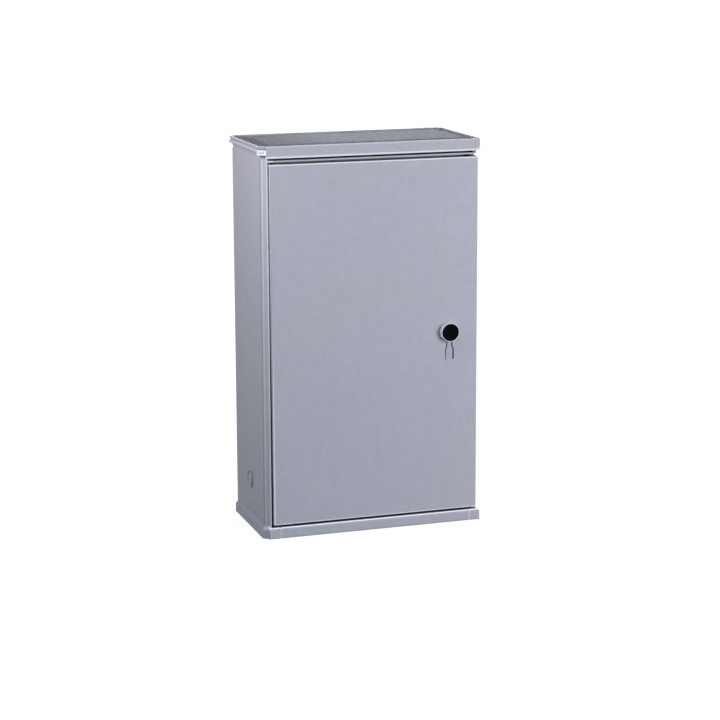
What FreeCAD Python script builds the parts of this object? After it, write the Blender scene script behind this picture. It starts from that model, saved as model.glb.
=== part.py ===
import FreeCAD, Part
import os
from math import cos, radians, sin, sqrt
from FreeCAD import Vector

# Free-standing glass-fibre polyester street cabinet, in millimetres.
# Z is up, the door faces -Y, X runs to the right seen from the front.
# The origin lies on the ground, under the middle of the whole box, lock included.

os.makedirs("parts", exist_ok=True)

# Overall size, over the crown
cabinet_width = 530.0
cabinet_depth = 270.0
cabinet_height = 900.0

# Body inside the overhang of the crown
crown_overhang = 9.0
front_overhang = 6.0
panel_thickness = 3.5

# Base: a moulded ring with a sloping ledge, in four rails and four corner blocks
ledge_run = 7.0
front_ledge_run = 5.0
base_face_height = 21.0
ledge_height = 30.0
sill_height = 25.0
base_wall = 5.0
base_flange = 8.0
base_ring_width = 46.0
base_corner_length = 26.0
base_chamfer = 15.0
base_door_chamfer = 5.5

# Crown: upper lip, shadow groove, lower lip and cove, with a plain fascia in front
crown_height = 27.0
crown_chamfer = 16.0
crown_wall = 3.5
upper_lip_height = 7.0
upper_lip_setback = 1.5
groove_height = 3.0
groove_depth = 4.0
lower_lip_height = 6.0
cove_fullness = 0.2
corner_block_height = 12.0
corner_block_undercut = 2.0
rim_width = 8.0
roof_recess = 3.0
roof_thickness = 3.0
roof_seat = 7.5
roof_seat_thickness = 4.0
roof_clearance = 0.3
fascia_lip_height = 4.0
fascia_step = 1.0
fascia_wall = 4.0
fascia_top_radius = 2.5

# Front opening: vent slot, thin rail and the gaps around the door
vent_slot_height = 5.0
vent_rail_height = 4.0
vent_rail_depth = 34.0
vent_rail_lip = 20.0
vent_rail_wall = 3.0
door_gap = 5.0
hinge_side_gap = 6.0

# Corner posts
post_chamfer = 12.0
post_setback = 2.0
post_land = 2.0
post_groove = 2.0
post_wall = 2.5
post_depth = 32.0
post_edge_radius = 1.5
closing_post_width = 11.5
closing_post_depth = 30.5
rear_post_leg = 30.0
rear_post_wall = 3.0

# Door tray
door_skin = 3.5
door_depth = 24.0
door_corner_radius = 10.0
door_edge_radius = 2.0
field_margin = 20.0
field_height = 0.6
field_slope = 2.5
stiffener_length = 330.0
stiffener_width = 50.0
stiffener_height = 10.0
stiffener_wall = 2.5
stiffener_heights = (230.0, 640.0)

# Pivot pins of the door and their sockets
pin_radius = 3.0
pin_clearance = 0.08
pin_reach = 20.0
collar_radius = 5.5
seat_gap = 0.3
socket_width = 17.0
socket_depth = 13.0
socket_height = 22.0

# Lock
lock_from_edge = 70.0
lock_height = 455.0
lock_core_radius = 20.5
lock_running_gap = 0.1
lock_bezel_wall = 2.4
lock_bezel_height = 12.0
lock_core_proud = 0.6
lock_core_edge = 0.8
lock_shaft_radius = 8.0
lock_key_radius = 4.5
lock_key_depth = 5.0
lock_case_width = 52.0
lock_case_height = 70.0
lock_case_depth = 18.0
lock_case_wall = 2.0
driver_radius = 12.0
driver_thickness = 3.0
lock_clearance = 5.0
tab_neck_width = 10.0
tab_width = 18.0
tab_length = 45.0
tab_neck_length = 11.0
tab_shoulder = 6.0
tab_height = 4.0

# Round cable plugs low in the sides
plug_radius = 26.0
plug_bore_radius = 22.0
plug_clearance = 0.3
plug_stub = 6.0
plug_flange = 2.0
plug_rim = 3.0
plug_dish = 1.0
plug_dimple_radius = 2.0
plug_height = 108.0
plug_from_middle = 7.0

# Floor and its anchor bosses
floor_thickness = 3.0
floor_lap = 11.0
floor_seat_gap = 1.0
anchor_from_side = 27.0
anchor_from_end = 17.5
anchor_hole_radius = 5.0
anchor_boss_radius = 12.0

# Planes that the pieces share
half_crown = cabinet_width / 2
half_body = half_crown - crown_overhang
half_base = half_body + ledge_run
lock_proud = field_height + lock_bezel_height + lock_core_proud - front_overhang
front_crown = -(cabinet_depth + lock_proud) / 2 + lock_proud
rear_crown = front_crown + cabinet_depth
middle_y = (front_crown + rear_crown) / 2
front_body = front_crown + front_overhang
rear_body = rear_crown - crown_overhang
front_base = front_body - front_ledge_run
rear_base = rear_body + ledge_run
inner_side = half_body - panel_thickness
inner_rear = rear_body - panel_thickness
crown_bottom = cabinet_height - crown_height
roof_bottom = cabinet_height - roof_recess - roof_thickness
rail_top = crown_bottom - vent_slot_height
rail_bottom = rail_top - vent_rail_height
door_top = rail_bottom - door_gap
door_bottom = sill_height + door_gap
post_front = front_body + post_setback
post_inner = half_body - post_chamfer
post_side_end = post_front + post_chamfer
panel_front = post_side_end + post_land + post_groove
skin_back = front_body + door_skin
door_left = -post_inner + hinge_side_gap
door_right = half_body
door_rear = front_body + door_depth
swing_radius = sqrt((door_depth - door_corner_radius) ** 2 + door_corner_radius ** 2)
closing_panel_front = door_rear + door_gap
closing_post_outer = door_right - door_skin - door_gap
closing_post_inner = closing_post_outer - closing_post_width
closing_post_front = skin_back + door_gap
pivot_x = door_left + door_corner_radius
pivot_y = front_body + door_corner_radius
sill_rear = pivot_y + swing_radius + door_gap
lock_x = door_right - lock_from_edge
lock_face = front_body - field_height
plug_y = middle_y + plug_from_middle
floor_front = sill_rear + floor_seat_gap
mouth_side = half_base - base_ring_width
mouth_front = front_base + base_ring_width
mouth_rear = rear_base - base_ring_width
floor_half = mouth_side + floor_lap
floor_rear = mouth_rear + floor_lap
anchor_x = mouth_side - anchor_from_side
anchor_rows = (mouth_front + anchor_from_end, mouth_rear - anchor_from_end)
crown_size = (half_crown, front_crown, rear_crown, crown_chamfer, crown_chamfer)
past = 5.0


def block(x0, x1, y0, y1, z0, z1):
    return Part.makeBox(x1 - x0, y1 - y0, z1 - z0, Vector(x0, y0, z0))


def cylinder(radius, start, end):
    axis = Vector(*end) - Vector(*start)
    return Part.makeCylinder(radius, axis.Length, Vector(*start), axis)


def outline(points):
    """Closed wire through the points; a pair (middle, end) in a list is an arc."""
    edges = []
    last = points[0]
    for item in points[1:] + [points[0]]:
        if isinstance(item, list):
            middle, end = item
            edges.append(Part.Arc(last, middle, end).toShape())
            last = end
        elif item.distanceToPoint(last) > 0:
            edges.append(Part.makeLine(last, item))
            last = item
    return Part.Wire(edges)


def plan(points, z0, z1):
    """Upright prism over a plan outline of (x, y) points and arcs."""
    placed = []
    for item in points:
        if isinstance(item, list):
            placed.append([Vector(x, y, z0) for x, y in item])
        else:
            placed.append(Vector(item[0], item[1], z0))
    return Part.Face(outline(placed)).extrude(Vector(0, 0, z1 - z0))


def on_circle(cx, cy, radius, degrees):
    return (cx + radius * cos(radians(degrees)), cy + radius * sin(radians(degrees)))


def mirrored(shape):
    return shape.mirror(Vector(0, 0, 0), Vector(1, 0, 0))


def save(name, shape):
    solids = shape.Solids
    whole = solids[0] if len(solids) == 1 else Part.makeCompound(solids)
    whole.exportStep("parts/" + name + ".step")


def cut_corner_ring(half_x, y0, y1, chamfer, door_chamfer, inset, z):
    """Rectangle with cut corners, one of its own size by the door's free end, moved inwards."""
    leg, door_leg = (cut - inset * (2 - sqrt(2)) for cut in (chamfer, door_chamfer))
    x, front, rear = half_x - inset, y0 + inset, y1 - inset
    corners = [
        (0, rear), (-x + leg, rear), (-x, rear - leg), (-x, front + leg), (-x + leg, front),
        (x - door_leg, front), (x, front + door_leg), (x, rear - leg), (x - leg, rear), (0, rear),
    ]
    return Part.makePolygon([Vector(px, py, z) for px, py in corners])


def layer(size, inset, z0, z1):
    return Part.Face(cut_corner_ring(*size, inset, z0)).extrude(Vector(0, 0, z1 - z0))


def split_ring(ring, half_x, y0, y1, corner, width, z0, z1):
    """The corners and rails of a ring, by name."""
    x_in, front, rear = half_x - corner, y0 + corner, y1 - corner
    front_room = block(-x_in, x_in, y0, y0 + width, z0, z1)
    rear_room = block(-x_in, x_in, y1 - width, y1, z0, z1)
    left_room = block(-half_x, -half_x + width, front, rear, z0, z1)
    boxes = {
        "corner_front_left": block(-half_x, -x_in, y0, front, z0, z1),
        "corner_front_right": block(x_in, half_x, y0, front, z0, z1),
        "corner_rear_left": block(-half_x, -x_in, rear, y1, z0, z1),
        "corner_rear_right": block(x_in, half_x, rear, y1, z0, z1),
        "front_rail": front_room,
        "rear_rail": rear_room,
        "left_rail": left_room.cut(front_room).cut(rear_room),
        "right_rail": mirrored(left_room).cut(front_room).cut(rear_room),
    }
    return {name: ring.common(box) for name, box in boxes.items()}


def base_ring():
    size = (half_base, front_base, rear_base, base_chamfer, base_door_chamfer)
    body = layer(size, 0, 0, base_face_height)
    lower = cut_corner_ring(*size, 0, base_face_height)
    upper = cut_corner_ring(*size, ledge_run, ledge_height)
    slope = Part.makeLoft([lower, upper], True, True)
    hollow = layer(size, base_wall, 0, ledge_height - base_flange)
    mouth = block(-mouth_side, mouth_side, mouth_front, mouth_rear, 0, ledge_height)
    sill = block(-post_inner, inner_side, front_base, sill_rear, sill_height, ledge_height)
    closing_end = block(inner_side, half_base, front_base, closing_panel_front,
                        sill_height, ledge_height)
    return body.fuse(slope).cut(hollow).cut(mouth).cut(sill).cut(closing_end)


def make_base(ring):
    pieces = split_ring(ring, half_base, front_base, rear_base, base_corner_length,
                        base_ring_width, 0, ledge_height)
    for name, shape in pieces.items():
        save("base_" + name, shape)


def crown_profile(is_corner):
    """Section of the crown as (inset, height) points, from the foot outwards and up."""
    lip_top = cabinet_height - upper_lip_height - groove_height
    lip_bottom = lip_top - lower_lip_height
    if is_corner:
        block_bottom = lip_top - corner_block_height
        foot = [(crown_overhang, crown_bottom),
                (crown_overhang, block_bottom - corner_block_undercut),
                (0, block_bottom)]
    else:
        middle = (crown_overhang * (0.5 + cove_fullness),
                  crown_bottom + (lip_bottom - crown_bottom) * (0.5 + cove_fullness))
        foot = [(crown_overhang, crown_bottom), [middle, (0, lip_bottom)]]
    inner = crown_overhang + crown_wall
    return foot + [
        (0, lip_top), (groove_depth, lip_top),
        (groove_depth, lip_top + groove_height),
        (upper_lip_setback, lip_top + groove_height),
        (upper_lip_setback, cabinet_height),
    ] + roof_seat_profile() + [(inner, roof_bottom - roof_seat_thickness), (inner, crown_bottom)]


def roof_seat_profile():
    rim = upper_lip_setback + rim_width
    return [
        (rim, cabinet_height), (rim, roof_bottom), (rim + roof_seat, roof_bottom),
        (rim + roof_seat, roof_bottom - roof_seat_thickness),
    ]


def fascia_profile():
    """Section of the plain band over the door, with a drip lip along its lower edge."""
    lip_top = crown_bottom + fascia_lip_height
    inner = crown_overhang + crown_wall
    wall = fascia_step + fascia_wall
    half_turn = sqrt(0.5) * fascia_top_radius
    top_arc = [
        (fascia_step + fascia_top_radius - half_turn,
         cabinet_height - fascia_top_radius + half_turn),
        (fascia_step + fascia_top_radius, cabinet_height),
    ]
    return [
        (inner, crown_bottom), (0, crown_bottom), (0, lip_top),
        (fascia_step, lip_top + fascia_step),
        (fascia_step, cabinet_height - fascia_top_radius), top_arc,
    ] + roof_seat_profile() + [
        (wall, roof_bottom - roof_seat_thickness), (wall, lip_top), (inner, lip_top),
    ]


def section(profile, place):
    """Wire of a profile's (inset, height) points and arcs, set in space by place."""
    placed = []
    for item in profile:
        if isinstance(item, list):
            placed.append([place(*pair) for pair in item])
        else:
            placed.append(place(*item))
    return outline(placed)


def crown_ring(profile):
    path = cut_corner_ring(*crown_size, 0, crown_bottom)
    wire = section(profile, lambda inset, z: Vector(0, rear_crown - inset, z))
    ring = path.makePipeShell([wire], True, False, 1)
    return Part.Solid(ring.Shells[0])


def make_crown():
    width = upper_lip_setback + rim_width + roof_seat
    corner_length = max(width, crown_chamfer)
    size = (half_crown, front_crown, rear_crown, corner_length, width)
    room = (crown_bottom, cabinet_height)
    lipped = split_ring(crown_ring(crown_profile(False)), *size, *room)
    blocked = split_ring(crown_ring(crown_profile(True)), *size, *room)
    plain = split_ring(crown_ring(fascia_profile()), *size, *room)
    for name in ("left_rail", "right_rail", "rear_rail", "corner_rear_left",
                 "corner_rear_right"):
        save("crown_" + name, lipped[name])
    save("crown_corner_front_left", blocked["corner_front_left"])
    save("crown_corner_front_right", plain["corner_front_right"])

    half = half_crown - corner_length
    wire = section(fascia_profile(), lambda inset, z: Vector(-half, front_crown + inset, z))
    save("crown_front_fascia", Part.Face(wire).extrude(Vector(2 * half, 0, 0)))
    inset = upper_lip_setback + rim_width + roof_clearance
    save("roof_panel", layer(crown_size, inset, roof_bottom, roof_bottom + roof_thickness))


def front_post_points():
    """Plan of a left front post: cut corner, land by the groove, lap behind the panel."""
    rear = post_front + post_depth
    land = post_side_end + post_land
    return [
        (-half_body, post_side_end), (-post_inner, post_front), (-post_inner, rear),
        (-inner_side, rear), (-inner_side, land), (-half_body, land),
    ]


def hollow_post(points, z0, z1):
    outer = plan(points, z0, z1)
    foot = min(outer.Faces, key=lambda face: face.CenterOfMass.z)
    bore = Part.Face(foot.makeOffset2D(-post_wall).OuterWire)
    return outer.cut(bore.extrude(Vector(0, 0, z1 - z0)))


def rounded_front(post):
    """Rounds the two upright edges of the cut corner of a left front post."""
    corners = ((-half_body, post_side_end), (-post_inner, post_front))
    edges = []
    for edge in post.Edges:
        mid = edge.CenterOfMass
        upright = abs(edge.BoundBox.ZLength - edge.Length) < 0.01
        for x, y in corners:
            if upright and abs(mid.x - x) < 0.01 and abs(mid.y - y) < 0.01:
                edges.append(edge)
    return post.makeFillet(post_edge_radius, edges)


def make_posts(base):
    left = rounded_front(hollow_post(front_post_points(), sill_height, crown_bottom))
    save("post_front_left", left.cut(base))

    lap_front = closing_panel_front + post_groove
    closing_rear = closing_post_front + closing_post_depth
    points = [
        (closing_post_outer, closing_post_front), (closing_post_inner, closing_post_front),
        (closing_post_inner, closing_rear), (inner_side, closing_rear),
        (inner_side, lap_front), (closing_post_outer, lap_front),
    ]
    stem = hollow_post(points, sill_height, rail_bottom).cut(base)
    head = mirrored(rounded_front(plan(front_post_points(), rail_bottom, crown_bottom)))
    save("post_front_right", stem.fuse(head).removeSplitter())

    leg = rear_post_leg
    angle = plan([
        (-inner_side, inner_rear), (-inner_side, inner_rear - leg),
        (-inner_side + rear_post_wall, inner_rear - leg),
        (-inner_side + rear_post_wall, inner_rear - rear_post_wall),
        (-inner_side + leg, inner_rear - rear_post_wall), (-inner_side + leg, inner_rear),
    ], ledge_height, crown_bottom)
    save("post_rear_left", angle)
    save("post_rear_right", mirrored(angle))


def make_panels():
    bore = cylinder(plug_bore_radius, (-half_body - past, plug_y, plug_height),
                    (-inner_side + past, plug_y, plug_height))
    left = block(-half_body, -inner_side, panel_front, rear_body, ledge_height, crown_bottom)
    save("left_side_panel", left.cut(bore))
    right = block(inner_side, half_body, closing_panel_front, rear_body,
                  ledge_height, crown_bottom)
    top_tab = block(inner_side, half_body, panel_front, closing_panel_front,
                    rail_bottom, crown_bottom)
    save("right_side_panel", right.fuse(top_tab).removeSplitter().cut(mirrored(bore)))
    save("rear_panel", block(-inner_side, inner_side, inner_rear, rear_body,
                             ledge_height, crown_bottom))


def make_plugs():
    x, y, z = -half_body, plug_y, plug_height
    flange = cylinder(plug_radius, (x - plug_flange, y, z), (x, y, z))
    stub = cylinder(plug_bore_radius - plug_clearance, (x, y, z), (x + plug_stub, y, z))
    dish = cylinder(plug_radius - plug_rim, (x - plug_flange, y, z),
                    (x - plug_flange + plug_dish, y, z))
    dimple = cylinder(plug_dimple_radius, (x - plug_flange, y, z), (x, y, z))
    plug = flange.fuse(stub).cut(dish).cut(dimple)
    save("left_cable_plug", plug)
    save("right_cable_plug", mirrored(plug))


def make_floor():
    floor = block(-floor_half, floor_half, floor_front, floor_rear,
                  ledge_height, ledge_height + floor_thickness)
    for x in (-anchor_x, anchor_x):
        for y in anchor_rows:
            floor = floor.fuse(cylinder(anchor_boss_radius, (x, y, 0), (x, y, ledge_height)))
            floor = floor.cut(cylinder(anchor_hole_radius, (x, y, 0),
                                       (x, y, ledge_height + floor_thickness)))
    save("floor_panel", floor)


def make_vent_rail():
    rear = post_front + vent_rail_depth
    bar = block(-post_inner, post_inner, post_front, rear, rail_bottom, rail_top)
    lip = block(-post_inner, closing_post_inner, rear - vent_rail_wall, rear,
                rail_bottom - vent_rail_lip, rail_bottom)
    save("vent_rail", bar.fuse(lip).removeSplitter())


def tray_outline(wall):
    """Plan of the door, moved inwards by the wall, open to the rear."""
    radius = door_corner_radius - wall
    left, right, front = door_left + wall, door_right - wall, front_body + wall
    cx_left, cx_right = door_left + door_corner_radius, door_right - door_corner_radius
    cy = front_body + door_corner_radius
    return [
        (left, door_rear), (left, cy),
        [on_circle(cx_left, cy, radius, 225), (cx_left, front)],
        (cx_right, front),
        [on_circle(cx_right, cy, radius, 315), (right, cy)],
        (right, door_rear),
    ]


def raised_field():
    """Slightly raised flat field of the door face with sloping sides."""
    wires = []
    for margin, y in ((field_margin, front_body),
                      (field_margin + field_slope, front_body - field_height)):
        x0, x1 = door_left + margin, door_right - margin
        z0, z1 = door_bottom + margin, door_top - margin
        wires.append(Part.makePolygon([
            Vector(x0, y, z0), Vector(x1, y, z0), Vector(x1, y, z1),
            Vector(x0, y, z1), Vector(x0, y, z0),
        ]))
    return Part.makeLoft(wires, True, True)


def make_door():
    tray = plan(tray_outline(0), door_bottom, door_top)
    edges = []
    for edge in tray.Edges:
        mid = edge.CenterOfMass
        at_end = min(abs(mid.z - door_bottom), abs(mid.z - door_top)) < 0.01
        if at_end and mid.y < front_body + door_corner_radius - 0.01:
            edges.append(edge)
    tray = tray.makeFillet(door_edge_radius, edges)
    tray = tray.cut(plan(tray_outline(door_skin), door_bottom + door_skin, door_top - door_skin))
    tray = tray.fuse(raised_field()).removeSplitter()
    tray = tray.cut(cylinder(pin_radius + pin_clearance, (pivot_x, pivot_y, door_bottom - past),
                             (pivot_x, pivot_y, door_top + past)))
    tray = tray.cut(cylinder(lock_shaft_radius + lock_running_gap,
                             (lock_x, lock_face - past, lock_height),
                             (lock_x, skin_back + past, lock_height)))
    post_notch = block(closing_post_inner - door_gap, door_right - door_skin, skin_back,
                       door_rear + past, door_bottom, door_top)
    tray = tray.cut(post_notch)
    save("door_panel", tray)
    return tray


def make_stiffeners():
    middle = (door_left + door_right) / 2
    half, wall = stiffener_length / 2, stiffener_wall
    for name, height in zip(("door_stiffener_lower", "door_stiffener_upper"),
                            stiffener_heights):
        low, high = height - stiffener_width / 2, height + stiffener_width / 2
        back = skin_back + stiffener_height
        hat = block(middle - half, middle + half, skin_back, back, low, high)
        hollow = block(middle - half + wall, middle + half - wall, skin_back, back - wall,
                       low + wall, high - wall)
        save(name, hat.cut(hollow))


def make_hinges(door):
    x0 = door_left + door_skin
    for name, low, seat, sense in (
            ("lower", door_bottom + door_skin, sill_height, 1),
            ("upper", door_top - door_skin - socket_height, rail_bottom, -1)):
        socket = block(x0, x0 + socket_width, skin_back, skin_back + socket_depth,
                       low, low + socket_height)
        bore = cylinder(pin_radius + pin_clearance, (pivot_x, pivot_y, low),
                        (pivot_x, pivot_y, low + socket_height))
        save("hinge_socket_" + name, socket.cut(door).cut(bore))
        collar = cylinder(collar_radius, (pivot_x, pivot_y, seat),
                          (pivot_x, pivot_y, seat + sense * (door_gap - seat_gap)))
        pin = cylinder(pin_radius, (pivot_x, pivot_y, seat),
                       (pivot_x, pivot_y, seat + sense * (door_gap + pin_reach)))
        save("hinge_pin_" + name, collar.fuse(pin).removeSplitter())


def along_y(radius, y0, y1):
    return cylinder(radius, (lock_x, y0, lock_height), (lock_x, y1, lock_height))


def make_lock():
    outer = lock_core_radius + lock_running_gap + lock_bezel_wall
    front = lock_face - lock_bezel_height
    bezel = along_y(outer, front, lock_face)
    rim = [edge for edge in bezel.Edges if abs(edge.CenterOfMass.y - front) < 0.01]
    bezel = bezel.makeFillet(lock_bezel_wall / 3, rim)
    save("lock_bezel", bezel.cut(along_y(lock_core_radius + lock_running_gap,
                                         front - past, lock_face)))

    head_front = front - lock_core_proud
    head = along_y(lock_core_radius, head_front, lock_face - seat_gap)
    rim = [edge for edge in head.Edges if abs(edge.CenterOfMass.y - head_front) < 0.01]
    head = head.makeFillet(lock_core_edge, rim)
    driver_front = skin_back + lock_clearance
    case_back = skin_back + lock_case_depth - lock_case_wall
    shaft = along_y(lock_shaft_radius, head_front + lock_key_depth, case_back - lock_clearance)
    driver = along_y(driver_radius, driver_front, driver_front + driver_thickness)
    key = []
    for degrees in (90, 210, 330, 90):
        x, z = on_circle(lock_x, lock_height, lock_key_radius, degrees)
        key.append(Vector(x, head_front, z))
    socket = Part.Face(Part.makePolygon(key)).extrude(Vector(0, lock_key_depth, 0))
    save("lock_core", head.fuse(shaft).fuse(driver).removeSplitter().cut(socket))

    half_w, half_h, wall = lock_case_width / 2, lock_case_height / 2, lock_case_wall
    case = block(lock_x - half_w, lock_x + half_w, skin_back, skin_back + lock_case_depth,
                 lock_height - half_h, lock_height + half_h)
    room = block(lock_x - half_w + wall, lock_x + half_w - wall, skin_back, case_back,
                 lock_height - half_h + wall, lock_height + half_h - wall)
    save("lock_case", case.cut(room))

    top = lock_height - outer
    neck_end = top - tab_neck_length
    neck, wide = tab_neck_width / 2, tab_width / 2
    points = [
        (neck, lock_height), (neck, neck_end), (wide, neck_end - tab_shoulder),
        (wide, top - tab_length), (-wide, top - tab_length),
        (-wide, neck_end - tab_shoulder), (-neck, neck_end), (-neck, lock_height),
    ]
    wire = Part.makePolygon([Vector(lock_x + x, lock_face, z) for x, z in points + points[:1]])
    tab = Part.Face(wire).extrude(Vector(0, -tab_height, 0))
    save("lock_tab", tab.cut(along_y(outer, front, lock_face)))


base = base_ring()
make_base(base)
make_floor()
make_panels()
make_plugs()
make_posts(base)
make_vent_rail()
make_crown()
door_solid = make_door()
make_stiffeners()
make_hinges(door_solid)
make_lock()
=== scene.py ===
from math import cos, pi, radians, sin

import bmesh
import bpy
from mathutils import Euler, Matrix, Vector


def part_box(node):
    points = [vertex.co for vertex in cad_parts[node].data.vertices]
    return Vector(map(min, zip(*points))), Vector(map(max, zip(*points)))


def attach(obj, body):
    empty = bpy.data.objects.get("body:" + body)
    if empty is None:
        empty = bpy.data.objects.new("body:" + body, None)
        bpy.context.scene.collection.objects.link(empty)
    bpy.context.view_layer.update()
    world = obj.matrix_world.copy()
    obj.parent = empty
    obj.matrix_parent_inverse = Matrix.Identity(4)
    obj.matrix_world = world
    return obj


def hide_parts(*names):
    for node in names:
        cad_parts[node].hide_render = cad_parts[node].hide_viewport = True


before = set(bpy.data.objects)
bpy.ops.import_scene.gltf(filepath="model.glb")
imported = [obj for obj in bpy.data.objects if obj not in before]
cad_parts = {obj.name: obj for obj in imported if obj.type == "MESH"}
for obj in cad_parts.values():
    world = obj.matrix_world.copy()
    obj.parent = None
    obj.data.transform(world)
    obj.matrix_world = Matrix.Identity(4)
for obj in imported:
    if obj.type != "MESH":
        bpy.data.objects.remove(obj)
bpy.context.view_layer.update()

# Street cabinet moulded in glass-fibre polyester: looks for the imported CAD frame.
# Lengths are in metres, so sizes in millimetres are written as number * mm.
mm = 0.001
tiny = 0.02 * mm
print("frame loaded,", len(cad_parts), "nodes")


# Mesh helpers

def sweepProfile(bm, profile, stations):
    # a face of the profile's pairs at the first station, drawn on through the other stations
    number = bm.verts.layers.int.get("pairNumber")
    if number is None:
        number = bm.verts.layers.int.new("pairNumber")
    ring = []
    for index, pair in enumerate(profile):
        vert = bm.verts.new(stations[0](*pair))
        vert[number] = index
        ring.append(vert)
    cap = bm.faces.new(ring)
    for station in stations[1:]:
        grown = bmesh.ops.extrude_face_region(bm, geom=[cap])["geom"]
        cap = next(item for item in grown if isinstance(item, bmesh.types.BMFace))
        for vert in cap.verts:
            vert.co = station(*profile[vert[number]])


def cutAway(bm, point, normal):
    # drops what lies on the normal's side of a plane and closes the cut
    everything = bm.verts[:] + bm.edges[:] + bm.faces[:]
    cut = bmesh.ops.bisect_plane(bm, geom=everything, plane_co=point, plane_no=normal,
                                 clear_outer=True, dist=1e-7)
    rim = [item for item in cut["geom_cut"] if isinstance(item, bmesh.types.BMEdge)]
    bmesh.ops.holes_fill(bm, edges=rim, sides=0)


def softenEdges(bm, width, steps=2, above=30, chosen=None):
    bmesh.ops.recalc_face_normals(bm, faces=bm.faces)
    sharp = [edge for edge in bm.edges
             if len(edge.link_faces) == 2 and edge.calc_face_angle(0) > radians(above)
             and (chosen is None or chosen(edge))]
    bmesh.ops.bevel(bm, geom=sharp, offset=width, offset_type="OFFSET", segments=steps,
                    profile=0.5, affect="EDGES", clamp_overlap=True, material=-1)


def addBlock(bm, low, high):
    made = bmesh.ops.create_cube(bm, size=1)["verts"]
    bmesh.ops.scale(bm, vec=[high[k] - low[k] for k in range(3)], verts=made)
    bmesh.ops.translate(bm, vec=[(high[k] + low[k]) / 2 for k in range(3)], verts=made)


def addRing(bm, profile, centre, axis, steps=96, closed=True):
    # turns pairs of (radius, distance along the axis) about the axis
    along = Vector(axis).normalized()
    across = along.orthogonal().normalized()
    verts = [bm.verts.new(Vector(centre) + across * radius + along * way) for radius, way in profile]
    pairs = list(zip(verts, verts[1:] + verts[:1])) if closed else list(zip(verts, verts[1:]))
    edges = [bm.edges.new(pair) for pair in pairs]
    bmesh.ops.spin(bm, geom=verts + edges, cent=centre, axis=along, dvec=(0, 0, 0),
                   angle=2 * pi, steps=steps, use_merge=True, use_duplicate=False)
    bmesh.ops.remove_doubles(bm, verts=bm.verts, dist=1e-6)


def mirrorAcross(bm, plane):
    # the same mesh on the other side of x = plane
    bmesh.ops.scale(bm, vec=(-1, 1, 1), verts=bm.verts)
    bmesh.ops.translate(bm, vec=(2 * plane, 0, 0), verts=bm.verts)
    bmesh.ops.reverse_faces(bm, faces=bm.faces)


def finishPiece(bm, name, body, material, replaced=(), smoothBelow=38):
    bmesh.ops.remove_doubles(bm, verts=bm.verts, dist=1e-6)
    bmesh.ops.recalc_face_normals(bm, faces=bm.faces)
    for face in bm.faces:
        face.smooth = True
    mesh = bpy.data.meshes.new(name)
    bm.to_mesh(mesh)
    bm.free()
    mesh.set_sharp_from_angle(angle=radians(smoothBelow))
    mesh.materials.append(material)
    piece = bpy.data.objects.new(name, mesh)
    bpy.context.scene.collection.objects.link(piece)
    evenNormals = piece.modifiers.new("evenNormals", "WEIGHTED_NORMAL")
    evenNormals.keep_sharp = True
    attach(piece, body)
    if replaced:
        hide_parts(*replaced)
    return piece


def carve(bm, cutter):
    # takes the cutter's volume out of the mesh; both are closed
    made = []
    for part in (bm, cutter):
        bmesh.ops.recalc_face_normals(part, faces=part.faces)
        mesh = bpy.data.meshes.new("carving")
        part.to_mesh(mesh)
        part.free()
        holder = bpy.data.objects.new("carving", mesh)
        bpy.context.scene.collection.objects.link(holder)
        made.append(holder)
    cut = made[0].modifiers.new("cut", "BOOLEAN")
    cut.operation, cut.object, cut.solver = "DIFFERENCE", made[1], "EXACT"
    carved = bpy.data.meshes.new_from_object(
        made[0].evaluated_get(bpy.context.evaluated_depsgraph_get()))
    result = bmesh.new()
    result.from_mesh(carved)
    for holder in made:
        mesh = holder.data
        bpy.data.objects.remove(holder)
        bpy.data.meshes.remove(mesh)
    bpy.data.meshes.remove(carved)
    return result


# Node helpers

def connect(tree, value, socket):
    if isinstance(value, bpy.types.NodeSocket):
        tree.links.new(value, socket)
    else:
        socket.default_value = value


def calc(tree, operation, first, second=0.0, third=0.0, clamped=False):
    node = tree.nodes.new("ShaderNodeMath")
    node.operation, node.use_clamp = operation, clamped
    for value, socket in zip((first, second, third), node.inputs):
        connect(tree, value, socket)
    return node.outputs[0]


def blendColours(tree, share, first, second, way="MIX"):
    node = tree.nodes.new("ShaderNodeMix")
    node.data_type, node.blend_type = "RGBA", way
    connect(tree, share, node.inputs[0])
    connect(tree, first, node.inputs[6])
    connect(tree, second, node.inputs[7])
    return node.outputs[2]


def mapRange(tree, value, low, high, toLow=0.0, toHigh=1.0, smooth=False):
    node = tree.nodes.new("ShaderNodeMapRange")
    node.interpolation_type = "SMOOTHSTEP" if smooth else "LINEAR"
    for given, socket in zip((value, low, high, toLow, toHigh), node.inputs):
        connect(tree, given, socket)
    return node.outputs[0]


def noise(tree, vector, scale, detail=2.0, roughness=0.5, distortion=0.0):
    node = tree.nodes.new("ShaderNodeTexNoise")
    connect(tree, vector, node.inputs["Vector"])
    for name, value in (("Scale", scale), ("Detail", detail), ("Roughness", roughness),
                        ("Distortion", distortion)):
        connect(tree, value, node.inputs[name])
    return node.outputs["Fac"]


def stretched(tree, vector, scale, turn=(0, 0, 0)):
    node = tree.nodes.new("ShaderNodeMapping")
    connect(tree, vector, node.inputs["Vector"])
    node.inputs["Scale"].default_value = scale
    node.inputs["Rotation"].default_value = turn
    return node.outputs["Vector"]


def newGroup(name, inputs, outputs):
    tree = bpy.data.node_groups.new(name, "ShaderNodeTree")
    for direction, wanted in (("INPUT", inputs), ("OUTPUT", outputs)):
        for label, value in wanted.items():
            kind = "NodeSocketVector" if value is None else "NodeSocketFloat"
            socket = tree.interface.new_socket(name=label, in_out=direction, socket_type=kind)
            if direction == "INPUT" and value is not None:
                socket.default_value = value
    return tree, tree.nodes.new("NodeGroupInput").outputs, tree.nodes.new("NodeGroupOutput").inputs


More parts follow.
